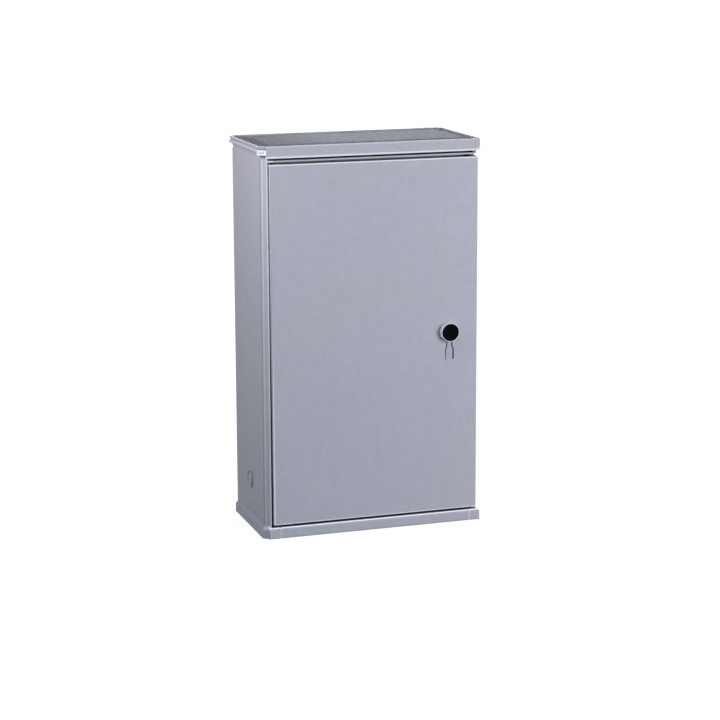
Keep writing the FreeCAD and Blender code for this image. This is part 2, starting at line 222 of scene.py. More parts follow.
def place(tree, group, **values):
    node = tree.nodes.new("ShaderNodeGroup")
    node.node_tree = group
    for label, value in values.items():
        connect(tree, value, node.inputs[label])
    return node.outputs


def objectPoint(tree):
    return tree.nodes.new("ShaderNodeTexCoord").outputs["Object"]


# Shared effects

def makeMouldGrain():
    # fine stipple of the pressed skin, with short glass strands showing faintly through it
    tree, given, out = newGroup("mouldGrain", {"Vector": None, "Stipple": 700.0, "Strands": 110.0},
                                {"Tone": 0.0, "Height": 0.0})
    fine = noise(tree, given["Vector"], given["Stipple"], 3.0, 0.6)
    cloud = noise(tree, given["Vector"], 55.0, 3.0, 0.55)
    strands = []
    for turn in ((0.4, 0.9, 0.2), (-0.5, 2.1, 0.7), (0.8, -0.6, -0.4)):
        laid = stretched(tree, given["Vector"], (1, 1, 0.15), turn)
        strand = noise(tree, laid, given["Strands"], 1.0, 0.4, 0.3)
        strands.append(mapRange(tree, strand, 0.58, 0.74))
    woven = calc(tree, "MAXIMUM", calc(tree, "MAXIMUM", strands[0], strands[1]), strands[2])
    tone = calc(tree, "MULTIPLY_ADD", fine, 0.5, calc(tree, "MULTIPLY", woven, 0.12))
    connect(tree, calc(tree, "MULTIPLY_ADD", cloud, 0.38, tone), out["Tone"])
    height = calc(tree, "MULTIPLY_ADD", woven, 0.25, calc(tree, "MULTIPLY", fine, 0.75))
    connect(tree, height, out["Height"])
    return tree


def makePaintedLight():
    # Edge is 1 along outward edges, for a painted highlight; Crevice is 1 in gaps, for painted shade
    tree, given, out = newGroup("paintedLight", {"Vector": None, "Radius": 0.0015, "Reach": 0.006,
                                              "Break": 0.35}, {"Edge": 0.0, "Crevice": 0.0})
    shade = tree.nodes.new("ShaderNodeAmbientOcclusion")
    shade.samples = 8
    connect(tree, given["Reach"], shade.inputs["Distance"])
    openness = shade.outputs["AO"]
    connect(tree, mapRange(tree, openness, 0.72, 0.3), out["Crevice"])
    bevel = tree.nodes.new("ShaderNodeBevel")
    bevel.samples = 8
    connect(tree, given["Radius"], bevel.inputs["Radius"])
    dot = tree.nodes.new("ShaderNodeVectorMath")
    dot.operation = "DOT_PRODUCT"
    connect(tree, bevel.outputs["Normal"], dot.inputs[0])
    connect(tree, tree.nodes.new("ShaderNodeNewGeometry").outputs["True Normal"], dot.inputs[1])
    edge = mapRange(tree, dot.outputs["Value"], 0.982, 0.92)
    edge = calc(tree, "MULTIPLY", edge, mapRange(tree, openness, 0.6, 0.85))
    broken = mapRange(tree, noise(tree, given["Vector"], 60.0, 3.0, 0.6), 0.3, 0.6)
    kept = calc(tree, "SUBTRACT", 1.0, calc(tree, "MULTIPLY", given["Break"],
                                            calc(tree, "SUBTRACT", 1.0, broken)))
    connect(tree, calc(tree, "MULTIPLY", edge, kept, clamped=True), out["Edge"])
    return tree


def makeWeathering():
    # broad cloudy patches and run-off streaks down the upright faces
    tree, given, out = newGroup("weathering", {"Vector": None, "Patches": 4.0, "Streaks": 30.0},
                                {"Patch": 0.0, "Cloud": 0.0, "Streak": 0.0})
    patch = noise(tree, given["Vector"], given["Patches"], 4.0, 0.55, 0.4)
    connect(tree, mapRange(tree, patch, 0.3, 0.7), out["Patch"])
    cloud = noise(tree, given["Vector"], calc(tree, "MULTIPLY", given["Patches"], 12.0), 3.0, 0.6)
    connect(tree, calc(tree, "SUBTRACT", mapRange(tree, cloud, 0.3, 0.7), 0.5), out["Cloud"])
    drawn = stretched(tree, given["Vector"], (1, 1, 0.04))
    streak = noise(tree, drawn, given["Streaks"], 3.0, 0.6, 0.2)
    connect(tree, mapRange(tree, streak, 0.5, 0.75), out["Streak"])
    return tree


def makeRoundMark():
    # soft ring about a centre, seen along the axis that Plane leaves out
    tree, given, out = newGroup("roundMark", {"Vector": None, "Centre": None, "Plane": None,
                                              "Size": 0.007, "Middle": 0.75, "Spread": 0.45},
                                {"Ring": 0.0})
    away = tree.nodes.new("ShaderNodeVectorMath")
    connect(tree, given["Vector"], away.inputs[0])
    connect(tree, given["Centre"], away.inputs[1])
    away.operation = "SUBTRACT"
    flat = tree.nodes.new("ShaderNodeVectorMath")
    flat.operation = "MULTIPLY"
    connect(tree, away.outputs["Vector"], flat.inputs[0])
    connect(tree, given["Plane"], flat.inputs[1])
    length = tree.nodes.new("ShaderNodeVectorMath")
    length.operation = "LENGTH"
    connect(tree, flat.outputs["Vector"], length.inputs[0])
    ratio = calc(tree, "DIVIDE", length.outputs["Value"], given["Size"])
    fromRing = calc(tree, "ABSOLUTE", calc(tree, "SUBTRACT", ratio, given["Middle"]))
    connect(tree, mapRange(tree, fromRing, given["Spread"], 0.0, smooth=True), out["Ring"])
    return tree


def makeBandMark():
    # straight soft band across a direction, at its distance from the origin
    tree, given, out = newGroup("bandMark", {"Vector": None, "Direction": None, "Centre": 0.0,
                                             "Half": 0.002}, {"Band": 0.0})
    dot = tree.nodes.new("ShaderNodeVectorMath")
    dot.operation = "DOT_PRODUCT"
    connect(tree, given["Vector"], dot.inputs[0])
    connect(tree, given["Direction"], dot.inputs[1])
    away = calc(tree, "ABSOLUTE", calc(tree, "SUBTRACT", dot.outputs["Value"], given["Centre"]))
    ratio = calc(tree, "DIVIDE", away, given["Half"])
    connect(tree, mapRange(tree, ratio, 1.0, 0.35, smooth=True), out["Band"])
    return tree


mouldGrain = makeMouldGrain()
paintedLight = makePaintedLight()
weathering = makeWeathering()
roundMark = makeRoundMark()
bandMark = makeBandMark()
print("shared effects made")


# Materials

polyester = {
    # "edge" is the colour of the painted highlight on outward edges and pale bands; the crevice colour is
    # painted shade in gaps
    "colour": (0.385, 0.399, 0.462), "warmPatch": (0.404, 0.394, 0.448), "edge": (0.70, 0.73, 0.80),
    "paintedShade": (0.024, 0.034, 0.050), "creviceShadeShare": 0.88, "creviceShadeReach": 0.009,
    "creviceShadeFade": (0.0, 1.0, 1.0, 1.0), "paintedHighlight": (0.95, 0.97, 1.0),
    "grainTone": 0.05, "patchTone": 0.5, "cloudTone": 0.07, "streakTone": 0.012,
    "edgeShare": 0.9, "edgeRadius": 0.0042,
    "roughness": 0.46, "roughnessSpread": 0.1, "bump": 0.05, "bumpDepth": 0.0004,
}


def newMaterial(name):
    material = bpy.data.materials.new(name)
    material.use_nodes = True
    tree = material.node_tree
    return material, tree, tree.nodes["Principled BSDF"].inputs


def splitPoint(tree, point):
    split = tree.nodes.new("ShaderNodeSeparateXYZ")
    connect(tree, point, split.inputs[0])
    return [split.outputs[axis] for axis in "XYZ"]


def paintBands(tree, point, tone, edge, paintedHighlight, bands):
    # each band is dark (painted shade), pale (painted light in the edge colour) or highlight (painted
    # highlight), has a share, and lies where all its stripes cross
    for kind, share, *stripes in bands:
        mask = share
        for direction, centre, half in stripes:
            stripe = place(tree, bandMark, Vector=point, Direction=direction, Centre=centre,
                           Half=half)["Band"]
            mask = calc(tree, "MULTIPLY", stripe, mask)
        if kind == "highlight":
            paintedHighlight = calc(tree, "MAXIMUM", paintedHighlight, mask)
        elif kind == "pale":
            edge = calc(tree, "MAXIMUM", edge, mask)
        else:
            tone = calc(tree, "MULTIPLY", tone, calc(tree, "SUBTRACT", 1.0, mask))
    return tone, edge, paintedHighlight


def makePolyester(name, values, marks=None, bands=()):
    material, tree, shader = newMaterial(name)
    point = objectPoint(tree)
    grain = place(tree, mouldGrain, Vector=point)
    weather = place(tree, weathering, Vector=point)
    wearAndPaintedLight = place(tree, paintedLight, Vector=point, Radius=values["edgeRadius"],
                 Reach=values["creviceShadeReach"])
    share = calc(tree, "MULTIPLY", weather["Patch"], values["patchTone"])
    colour = blendColours(tree, share, (*values["colour"], 1), (*values["warmPatch"], 1))
    tone = calc(tree, "MULTIPLY_ADD", calc(tree, "SUBTRACT", grain["Tone"], 0.45),
                values["grainTone"] * 2, 1.0)
    tone = calc(tree, "MULTIPLY_ADD", weather["Cloud"], values["cloudTone"], tone)
    tone = calc(tree, "SUBTRACT", tone, calc(tree, "MULTIPLY", weather["Streak"],
                                             values["streakTone"]))
    tone, edge, paintedHighlight = paintBands(tree, point, tone, wearAndPaintedLight["Edge"], 0.0, bands)
    if marks:
        tone, edge, paintedHighlight = marks(tree, point, tone, edge, paintedHighlight)
    colour = blendColours(tree, 1.0, colour, asColour(tree, tone), "MULTIPLY")
    # painted highlight on edges and pale bands, painted shade in crevices that fades with height as set,
    # then the painted highlight bands
    lit = calc(tree, "MULTIPLY", edge, values["edgeShare"])
    colour = blendColours(tree, lit, colour, (*values["edge"], 1))
    dark = calc(tree, "MULTIPLY", wearAndPaintedLight["Crevice"], values["creviceShadeShare"])
    dark = calc(tree, "MULTIPLY", dark, mapRange(tree, splitPoint(tree, point)[2],
                                                 *values["creviceShadeFade"]))
    colour = blendColours(tree, dark, colour, (*values["paintedShade"], 1))
    colour = blendColours(tree, paintedHighlight, colour, (*values["paintedHighlight"], 1))
    connect(tree, colour, shader["Base Color"])
    rough = calc(tree, "MULTIPLY_ADD", grain["Tone"], values["roughnessSpread"],
                 values["roughness"] - values["roughnessSpread"] / 2)
    connect(tree, rough, shader["Roughness"])
    shader["Specular IOR Level"].default_value = 0.18
    bump = tree.nodes.new("ShaderNodeBump")
    bump.inputs["Strength"].default_value = values["bump"]
    bump.inputs["Distance"].default_value = values["bumpDepth"]
    connect(tree, grain["Height"], bump.inputs["Height"])
    connect(tree, bump.outputs["Normal"], shader["Normal"])
    return material


def asColour(tree, value):
    node = tree.nodes.new("ShaderNodeCombineColor")
    for socket in node.inputs:
        connect(tree, value, socket)
    return node.outputs[0]


doorMarks = {
    "rings": ((-0.0922, 0.8082, 0.008), (0.0968, 0.8119, 0.008)), "ringTone": 0.10,
    "paleSpot": (0.198, 0.698, 0.03), "spotTone": 0.05, "scratches": 0.012,
    "rimInset": 0.0018, "rimWidth": 0.0022, "rimTop": 0.75, "rimFoot": 0.55, "rimLeft": 0.9,
    "returnFrom": 0.1, "returnTo": 0.78, "returnShare": 0.9,
}
inFront, fromSide = (1, 0, 1), (0, 1, 1)
right, back, up = (1, 0, 0), (0, 1, 0), (0, 0, 1)


def addDoorMarks(tree, point, tone, edge, paintedHighlight):
    for x, z, size in doorMarks["rings"]:
        ring = place(tree, roundMark, Vector=point, Centre=(x, 0, z), Plane=inFront, Size=size)
        tone = calc(tree, "SUBTRACT", tone, calc(tree, "MULTIPLY", ring["Ring"],
                                                 doorMarks["ringTone"]))
    x, z, size = doorMarks["paleSpot"]
    spot = place(tree, roundMark, Vector=point, Centre=(x, 0, z), Plane=inFront, Size=size,
                 Middle=0.0, Spread=1.0)
    tone = calc(tree, "ADD", tone, calc(tree, "MULTIPLY", spot["Ring"], doorMarks["spotTone"]))
    drawn = stretched(tree, point, (1, 1, 0.06), (0, radians(38), 0))
    scratch = mapRange(tree, noise(tree, drawn, 55.0, 2.0, 0.5), 0.62, 0.72)
    tone = calc(tree, "ADD", tone, calc(tree, "MULTIPLY", scratch, doorMarks["scratches"]))

    # painted highlight along the rim where the face turns into its returns
    low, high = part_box("door_panel")
    x, y, z = splitPoint(tree, point)
    left = mapRange(tree, z, 0.55, 0.12, 0.0, doorMarks["rimLeft"])
    for gap, share in ((calc(tree, "SUBTRACT", x, low.x), left),
                       (calc(tree, "SUBTRACT", z, low.z), doorMarks["rimFoot"]),
                       (calc(tree, "SUBTRACT", high.z, z), doorMarks["rimTop"])):
        fromRim = calc(tree, "ABSOLUTE", calc(tree, "SUBTRACT", gap, doorMarks["rimInset"]))
        rim = mapRange(tree, fromRim, doorMarks["rimWidth"], 0.0, 0.0, share, True)
        paintedHighlight = calc(tree, "MAXIMUM", paintedHighlight, rim)
    facing = mapRange(tree, y, low.y + 0.006, low.y + 0.003)
    paintedHighlight = calc(tree, "MULTIPLY", paintedHighlight, facing)
    # painted light on the return in the upper part of the hinge gap
    hingeReturn = calc(tree, "MULTIPLY", mapRange(tree, x, low.x + 0.0006, low.x - 0.0003),
                       mapRange(tree, y, low.y + 0.002, low.y + 0.005))
    upperGapLight = mapRange(tree, z, doorMarks["returnFrom"], doorMarks["returnTo"], 0.0,
                     doorMarks["returnShare"], True)
    return tone, edge, calc(tree, "MAXIMUM", paintedHighlight, calc(tree, "MULTIPLY", hingeReturn, upperGapLight))


plugMarks = {"size": 0.0176, "spread": 0.24, "tone": 0.45, "disc": 0.0112, "discShare": 0.45,
             "dot": 0.0045, "dotTone": 0.5}


def addPlugMarks(tree, point, tone, edge, paintedHighlight):
    low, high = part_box("left_cable_plug")
    centre = (0, (low.y + high.y) / 2, (low.z + high.z) / 2)
    # dark ring: painted shade in the groove round the disc
    ring = place(tree, roundMark, Vector=point, Centre=centre, Plane=fromSide,
                 Size=plugMarks["size"], Middle=1.0, Spread=plugMarks["spread"])["Ring"]
    tone = calc(tree, "SUBTRACT", tone, calc(tree, "MULTIPLY", ring, plugMarks["tone"]))
    # the raised disc is lightened in the edge colour as a painted highlight; the centre dot is painted
    # shade in the dimple
    disc, dot = [place(tree, roundMark, Vector=point, Centre=centre, Plane=fromSide, Size=size,
                       Middle=0.0, Spread=1.0)["Ring"] for size in (plugMarks["disc"], plugMarks["dot"])]
    edge = calc(tree, "MAXIMUM", edge, calc(tree, "MULTIPLY", disc, plugMarks["discShare"]))
    dark = calc(tree, "MULTIPLY", dot, plugMarks["dotTone"])
    return calc(tree, "SUBTRACT", tone, dark), calc(tree, "SUBTRACT", edge, dot, clamped=True), paintedHighlight


roofSkin = {
    "dark": (0.205, 0.215, 0.25), "pale": (0.415, 0.415, 0.45), "rust": (0.52, 0.46, 0.42),
    "shade": (0.06, 0.072, 0.095), "shadeReach": (0.04, 0.075), "shadeShare": 0.7,
    "leftTone": 0.56,
    "roughness": 0.72, "bump": 0.35, "bumpDepth": 0.0012,
}


def makeRoofSkin(values):
    material, tree, shader = newMaterial("weatheredRoof")
    point = objectPoint(tree)
    low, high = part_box("roof_panel")
    mottle = noise(tree, stretched(tree, point, (1, 0.55, 1)), 80.0, 5.0, 0.7, 0.3)
    speckle = noise(tree, point, 420.0, 3.0, 0.7)
    share = calc(tree, "MULTIPLY_ADD", mapRange(tree, mottle, 0.32, 0.68), 0.65,
                 calc(tree, "MULTIPLY", speckle, 0.35), clamped=True)
    colour = blendColours(tree, share, (*values["dark"], 1), (*values["pale"], 1))
    stain = mapRange(tree, noise(tree, point, 60.0, 3.0, 0.6), 0.58, 0.7)
    colour = blendColours(tree, calc(tree, "MULTIPLY", stain, 0.5), colour, (*values["rust"], 1))
    x, y, _ = splitPoint(tree, point)
    # painted shade along the roof's edges inside the rim, strongest at the front and left
    front = calc(tree, "SUBTRACT", y, low.y)
    near = calc(tree, "MINIMUM", calc(tree, "MULTIPLY", calc(tree, "SUBTRACT", x, low.x), 1.8), front)
    far = calc(tree, "MINIMUM", calc(tree, "SUBTRACT", high.x, x), calc(tree, "SUBTRACT", high.y, y))
    near = calc(tree, "MINIMUM", near, calc(tree, "MULTIPLY_ADD", far, 2.2, 0.035))
    cloud = calc(tree, "SUBTRACT", noise(tree, point, 30.0, 4.0, 0.65), 0.5)
    near = calc(tree, "MULTIPLY_ADD", cloud, 0.09, near)
    # the roof is darker towards its left end
    leftDarkening = mapRange(tree, x, low.x, low.x + 0.25, values["leftTone"], 1.0, True)
    colour = blendColours(tree, 1.0, colour, asColour(tree, leftDarkening), "MULTIPLY")
    rimShade = mapRange(tree, near, values["shadeReach"][1], values["shadeReach"][0], smooth=True)
    colour = blendColours(tree, calc(tree, "MULTIPLY", rimShade, values["shadeShare"]), colour,
                          (*values["shade"], 1))
    connect(tree, colour, shader["Base Color"])
    connect(tree, mapRange(tree, speckle, 0.3, 0.7, values["roughness"], 0.9), shader["Roughness"])
    shader["Specular IOR Level"].default_value = 0.03
    bump = tree.nodes.new("ShaderNodeBump")
    bump.inputs["Strength"].default_value = values["bump"]
    bump.inputs["Distance"].default_value = values["bumpDepth"]
    connect(tree, speckle, bump.inputs["Height"])
    connect(tree, bump.outputs["Normal"], shader["Normal"])
    return material


blackCap = {"colour": (0.0012, 0.0014, 0.0018), "wearAndPaintedLight": (0.003, 0.0034, 0.004), "roughness": 0.62}


def makeBlackCap(values):
    material, tree, shader = newMaterial("blackCap")
    point = objectPoint(tree)
    scuff = noise(tree, point, 300.0, 4.0, 0.6)
    colour = blendColours(tree, mapRange(tree, scuff, 0.5, 0.8), (*values["colour"], 1),
                          (*values["wearAndPaintedLight"], 1))
    connect(tree, colour, shader["Base Color"])
    connect(tree, mapRange(tree, scuff, 0.3, 0.7, values["roughness"], 0.7), shader["Roughness"])
    shader["Specular IOR Level"].default_value = 0.02
    return material


slotShade = {"colour": (0.032, 0.038, 0.05), "shadeFleck": (0.08, 0.093, 0.115)}


def makeSlotShade(values):
    # dark sheet that stands in for the shade in the slots beside the tab, with lighter flecks
    material, tree, shader = newMaterial("slotShade")
    shadeFleck = mapRange(tree, noise(tree, objectPoint(tree), 400.0, 4.0, 0.6), 0.4, 0.75)
    connect(tree, blendColours(tree, shadeFleck, (*values["colour"], 1), (*values["shadeFleck"], 1)),
            shader["Base Color"])
    connect(tree, mapRange(tree, shadeFleck, 0.0, 1.0, 0.7, 0.9), shader["Roughness"])
    shader["Specular IOR Level"].default_value = 0.15
    return material


zinc = {"colour": (0.035, 0.037, 0.04), "bloom": (0.06, 0.062, 0.066), "roughness": 0.45}


def makeZinc(values):
    material, tree, shader = newMaterial("zincPlate")
    point = objectPoint(tree)
    bloom = noise(tree, point, 220.0, 4.0, 0.6)
    connect(tree, blendColours(tree, mapRange(tree, bloom, 0.4, 0.7), (*values["colour"], 1),
                               (*values["bloom"], 1)), shader["Base Color"])
    shader["Metallic"].default_value = 1.0
    turned = noise(tree, stretched(tree, point, (1, 1, 30)), 300.0, 2.0, 0.5)
    connect(tree, mapRange(tree, turned, 0.3, 0.7, values["roughness"], 0.55), shader["Roughness"])
    return material


bodySkin = makePolyester("mouldedPolyester", polyester)
# painted shade in the upright gaps thins out towards the top
upwardFadingShade = {**polyester, "creviceShadeReach": 0.007, "creviceShadeFade": (0.15, 0.62, 1.0, 0.05)}
doorSkin = makePolyester("doorPolyester", {**upwardFadingShade, "edgeShare": 0.3, "creviceShadeShare": 0.55},
                         addDoorMarks)
plugSkin = makePolyester("plugPolyester", polyester, addPlugMarks)
bossSkin = makePolyester("bossPolyester", {**upwardFadingShade, "edgeShare": 0.1})
ringSkin = makePolyester("ringPolyester", {**upwardFadingShade, "colour": (0.62, 0.64, 0.70),
                                           "warmPatch": (0.64, 0.64, 0.69), "creviceShadeShare": 0.2})
roofTop = makeRoofSkin(roofSkin)
capBlack = makeBlackCap(blackCap)
paintedShade = makeSlotShade(slotShade)
pinZinc = makeZinc(zinc)
greySlot, roofSlot, blackSlot, pinSlot = ("moulded_polyester", "weathered_polyester",
                                          "black_plastic", "zinc_steel")
print("materials made")


# Crown: two lips with a shadow groove on the sides and rear, a plain fascia in front

crown = {
    "overhang": 9 * mm, "wall": 3.5 * mm, "upperLip": 5 * mm, "upperSetback": 1.5 * mm,
    "groove": 3 * mm, "grooveDepth": 3 * mm, "lowerLip": 6 * mm, "coveFullness": 0.2,
    "cornerBlock": 12 * mm, "undercut": 2 * mm, "rim": 4.5 * mm, "recess": 6 * mm,
    "seat": 11 * mm, "seatThickness": 4 * mm, "chamfer": 16 * mm, "cornerLength": 17 * mm,
    "softness": 0.9 * mm, "joint": 0.25 * mm,
}
fascia = {
    "lip": 4 * mm, "step": 1 * mm, "wall": 4 * mm, "topRadius": 2.5 * mm, "softness": 0.8 * mm,
}
crownLeft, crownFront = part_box("crown_left_rail")[0].x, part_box("crown_front_fascia")[0].y
crownRight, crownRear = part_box("crown_right_rail")[1].x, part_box("crown_rear_rail")[1].y
crownFoot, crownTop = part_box("crown_left_rail")[0].z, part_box("crown_left_rail")[1].z


def seatProfile(values):
    rim = values["upperSetback"] + values["rim"]
    seatTop = crownTop - values["recess"]
    return [(rim, crownTop), (rim, seatTop), (rim + values["seat"], seatTop),
            (rim + values["seat"], seatTop - values["seatThickness"])]


def arcPoints(first, middle, last, steps):
    # points of the smooth line through three pairs
    points = []
    for index in range(steps + 1):
        t = index / steps
        bend = [2 * middle[k] - (first[k] + last[k]) / 2 for k in (0, 1)]
        points.append(tuple((1 - t) ** 2 * first[k] + 2 * t * (1 - t) * bend[k] + t * t * last[k]
                            for k in (0, 1)))
    return points


lipTop = crownTop - crown["upperLip"] - crown["groove"]
blockMiddle = lipTop - crown["cornerBlock"] / 2
crownValues = {**polyester, "creviceShadeReach": 0.0045, "creviceShadeShare": 0.6, "edgeShare": 0.3}
# dark bands: painted shade on the top face and in the groove; highlight band: painted highlight on the
# lower lip
crownBands = [("dark", 0.3, (up, crownTop, 2.4 * mm)), ("dark", 0.3, (up, lipTop + 1.8 * mm, 2.4 * mm)),
              ("highlight", 0.4, (up, lipTop - 0.8 * mm, 1.8 * mm))]
crownSkin = makePolyester("crownPolyester", crownValues, bands=crownBands)
blockHeight = (up, blockMiddle, 8 * mm)
# corner blocks: painted highlights on the lip edges, on the block's edges and over the block, painted shade
# under the block
blockSkin = makePolyester("cornerPolyester", crownValues, bands=crownBands + [
    ("highlight", 0.85, (up, lipTop - 10 * mm, 2 * mm)), ("highlight", 0.85, (up, lipTop - 1.8 * mm, 2 * mm)),
    ("dark", 0.7, (up, lipTop - 13.5 * mm, 2 * mm)),
    ("highlight", 0.85, blockHeight, (right, crownLeft + 1 * mm, 2.6 * mm)),
    ("highlight", 0.95, blockHeight, (right, crownLeft + 15 * mm, 2.8 * mm)),
    ("highlight", 0.35, blockHeight)])
# painted highlights along the fascia's drip lip and its top edge
fasciaSkin = makePolyester("fasciaPolyester", {**polyester, "edgeShare": 0.35}, bands=[
    ("highlight", 0.5, (up, crownFoot + 2 * mm, 3.2 * mm)),
    ("highlight", 0.16, (up, crownTop - 1 * mm, 2.4 * mm))])


def crownProfile(values, isCorner):
    lipFoot = lipTop - values["lowerLip"]
    out = values["overhang"]
    if isCorner:
        blockFoot = lipTop - values["cornerBlock"]
        foot = [(out, crownFoot), (out, blockFoot - values["undercut"]), (0, blockFoot)]
    else:
        full = 0.5 + values["coveFullness"]
        middle = (out * full, crownFoot + (lipFoot - crownFoot) * full)
        foot = arcPoints((out, crownFoot), middle, (0, lipFoot), 8)
    inner = out + values["wall"]
    return foot + [
        (0, lipTop), (values["grooveDepth"], lipTop),
        (values["grooveDepth"], lipTop + values["groove"]),
        (values["upperSetback"], lipTop + values["groove"]), (values["upperSetback"], crownTop),
    ] + seatProfile(values) + [
        (inner, crownTop - values["recess"] - values["seatThickness"]), (inner, crownFoot)]


def makeCrownRails():
    profile = crownProfile(crown, False)
    reach, joint = crown["cornerLength"], crown["joint"]
    front, rear = crownFront + reach + joint, crownRear - reach - joint
    left, right = crownLeft + reach + joint, crownRight - reach - joint
    runs = {
        "left": [lambda i, z, y=y: (crownLeft + i, y, z) for y in (front, rear)],
        "right": [lambda i, z, y=y: (crownRight - i, y, z) for y in (front, rear)],
        "rear": [lambda i, z, x=x: (x, crownRear - i, z) for x in (left, right)],
    }
    for side, stations in runs.items():
        bm = bmesh.new()
        sweepProfile(bm, profile, stations)
        softenEdges(bm, crown["softness"])
        finishPiece(bm, "crown_moulding_" + side, "root", crownSkin,
                    ["crown_" + side + "_rail"])


def sweepCorner(bm, profile, left, front, chamfer, reach, square=False):
    # the profile round a corner, from the side to the front, with or without a cut across it
    slant = 2 ** 0.5 - 1
    far = 3 * reach
    turn = [lambda i, z: (left + i, front + i, z)] if square else [
        lambda i, z: (left + i, front + chamfer + slant * i, z),
        lambda i, z: (left + chamfer + slant * i, front + i, z)]
    sweepProfile(bm, profile, [lambda i, z: (left + i, front + far, z)] + turn
                 + [lambda i, z: (left + far, front + i, z)])
    cutAway(bm, (0, front + reach, 0), (0, 1, 0))
    cutAway(bm, (left + reach, 0, 0), (1, 0, 0))
    if square:
        def isCorner(edge):
            first, second = edge.verts[0].co, edge.verts[1].co
            outer = max(first.x, second.x) < left + chamfer * 2
            return outer and abs(first.z - second.z) > tiny
        softenEdges(bm, chamfer, 3, above=60, chosen=isCorner)


def turnedOver(bm, middle):
    # front corner made into a rear one
    bmesh.ops.scale(bm, vec=(1, -1, 1), verts=bm.verts)
    bmesh.ops.translate(bm, vec=(0, 2 * middle, 0), verts=bm.verts)
    bmesh.ops.reverse_faces(bm, faces=bm.faces)


def fasciaProfile():
    step, radius, dripTop = fascia["step"], fascia["topRadius"], crownFoot + fascia["lip"]
    inner, wall = crown["overhang"] + crown["wall"], fascia["step"] + fascia["wall"]
    top = [(step + radius - radius * cos(radians(a)), crownTop - radius + radius * sin(radians(a)))
           for a in range(0, 91, 15)]
    return [(inner, crownFoot), (0, crownFoot), (0, dripTop), (step, dripTop + step)] + top + \
        seatProfile(crown) + [(wall, crownTop - crown["recess"] - crown["seatThickness"]),
                              (wall, dripTop), (inner, dripTop)]


def makeCrownCorners():
    for end in ("front", "rear"):
        for side in ("left", "right"):
            profile = crownProfile(crown, side == "left") if end == "front" else \
                crownProfile(crown, False)
            if (end, side) == ("front", "right"):
                profile = fasciaProfile()
            bm = bmesh.new()
            sweepCorner(bm, profile, crownLeft, crownFront, crown["chamfer"],
                        crown["cornerLength"])
            softenEdges(bm, crown["softness"])
            if side == "right":
                mirrorAcross(bm, (crownLeft + crownRight) / 2)
            if end == "rear":
                turnedOver(bm, (crownFront + crownRear) / 2)
            skin = {"left": blockSkin, "right": fasciaSkin}[side] if end == "front" else crownSkin
            finishPiece(bm, "crown_block_" + end + "_" + side, "root", skin,
                        ["crown_corner_" + end + "_" + side])


def makeFascia():
    reach = crown["cornerLength"] + crown["joint"]
    stations = [lambda i, z, x=x: (x, crownFront + i, z)
                for x in (crownLeft + reach, crownRight - reach)]
    bm = bmesh.new()
    sweepProfile(bm, fasciaProfile(), stations)
    softenEdges(bm, fascia["softness"])
    finishPiece(bm, "crown_fascia_board", "root", fasciaSkin, ["crown_front_fascia"])


roof = {"gap": 1.0 * mm, "softness": 0.6 * mm}


def makeRoof():
    low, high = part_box("roof_panel")
    gap = roof["gap"]
    cut = crown["chamfer"] - (low.x - crownLeft) * (2 - 2 ** 0.5)
    x, front, rear = high.x - gap, low.y + gap, high.y - gap
    outline = [(-x + cut, front), (x - cut, front), (x, front + cut), (x, rear - cut),
               (x - cut, rear), (-x + cut, rear), (-x, rear - cut), (-x, front + cut)]
    bm = bmesh.new()
    sweepProfile(bm, outline, [lambda a, b, z=z: (a, b, z) for z in (low.z, high.z)])
    softenEdges(bm, roof["softness"])
    finishPiece(bm, "roof_sheet", "root", roofTop, ["roof_panel"])


makeCrownRails()
makeCrownCorners()
makeFascia()
makeRoof()
print("crown and roof made")


# Base: hollow rails with a sloping ledge, and four corner blocks

base = {
    "faceHeight": 21 * mm, "ledgeRun": 7 * mm, "wall": 5 * mm, "flange": 8 * mm,
    "ringWidth": 46 * mm, "cornerLength": 26 * mm, "chamfer": 15 * mm, "doorChamfer": 4 * mm,
    "sillDrop": 5 * mm, "softness": 0.9 * mm, "joint": 0.5 * mm, "lift": 0.2 * mm,
    "hingeCorner": 40 * mm,
}
baseLeft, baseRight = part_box("base_left_rail")[0].x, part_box("base_right_rail")[1].x
baseFront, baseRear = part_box("base_front_rail")[0].y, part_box("base_rear_rail")[1].y
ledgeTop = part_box("base_left_rail")[1].z
sillTop = ledgeTop - base["sillDrop"]
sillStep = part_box("floor_panel")[0].y - baseFront - 1 * mm
postInner = -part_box("post_front_left")[1].x
panelLeft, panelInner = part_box("left_side_panel")[0].x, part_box("left_side_panel")[1].x
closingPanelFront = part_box("right_side_panel")[0].y + 11 * mm


diagonal = (0.5 ** 0.5, 0.5 ** 0.5, 0)
cutCorner = (diagonal, (baseLeft + baseFront + base["chamfer"]) * 0.5 ** 0.5, 3.5 * mm)
baseValues = {**polyester, "edgeShare": 0.3}
# painted highlight on the sill ledge and on the joints beside the front corner blocks; painted light on the
# cut corner face
baseBands = [
    ("highlight", 1.0, (up, sillTop - 0.4 * mm, 1.9 * mm), (back, baseFront + 2 * mm, 6 * mm)),
    ("pale", 1.0, cutCorner),
    ("highlight", 0.5, (right, baseRight - base["cornerLength"], 2.6 * mm), (back, baseFront, 4 * mm)),
    ("highlight", 0.35, (right, baseLeft + base["hingeCorner"], 2.4 * mm), (back, baseFront, 4 * mm))]
# painted shade on the sill under the door
sillShade = ("dark", 0.85, (up, sillTop, 4 * mm), (back, baseFront + 24 * mm, 18 * mm))
baseBlockSkin = makePolyester("baseBlockPolyester", baseValues, bands=baseBands)
baseFrontSkin = makePolyester("basePolyester", baseValues, bands=baseBands + [sillShade])
baseSideSkin = makePolyester("baseSidePolyester", {**polyester, "edgeShare": 0.4})


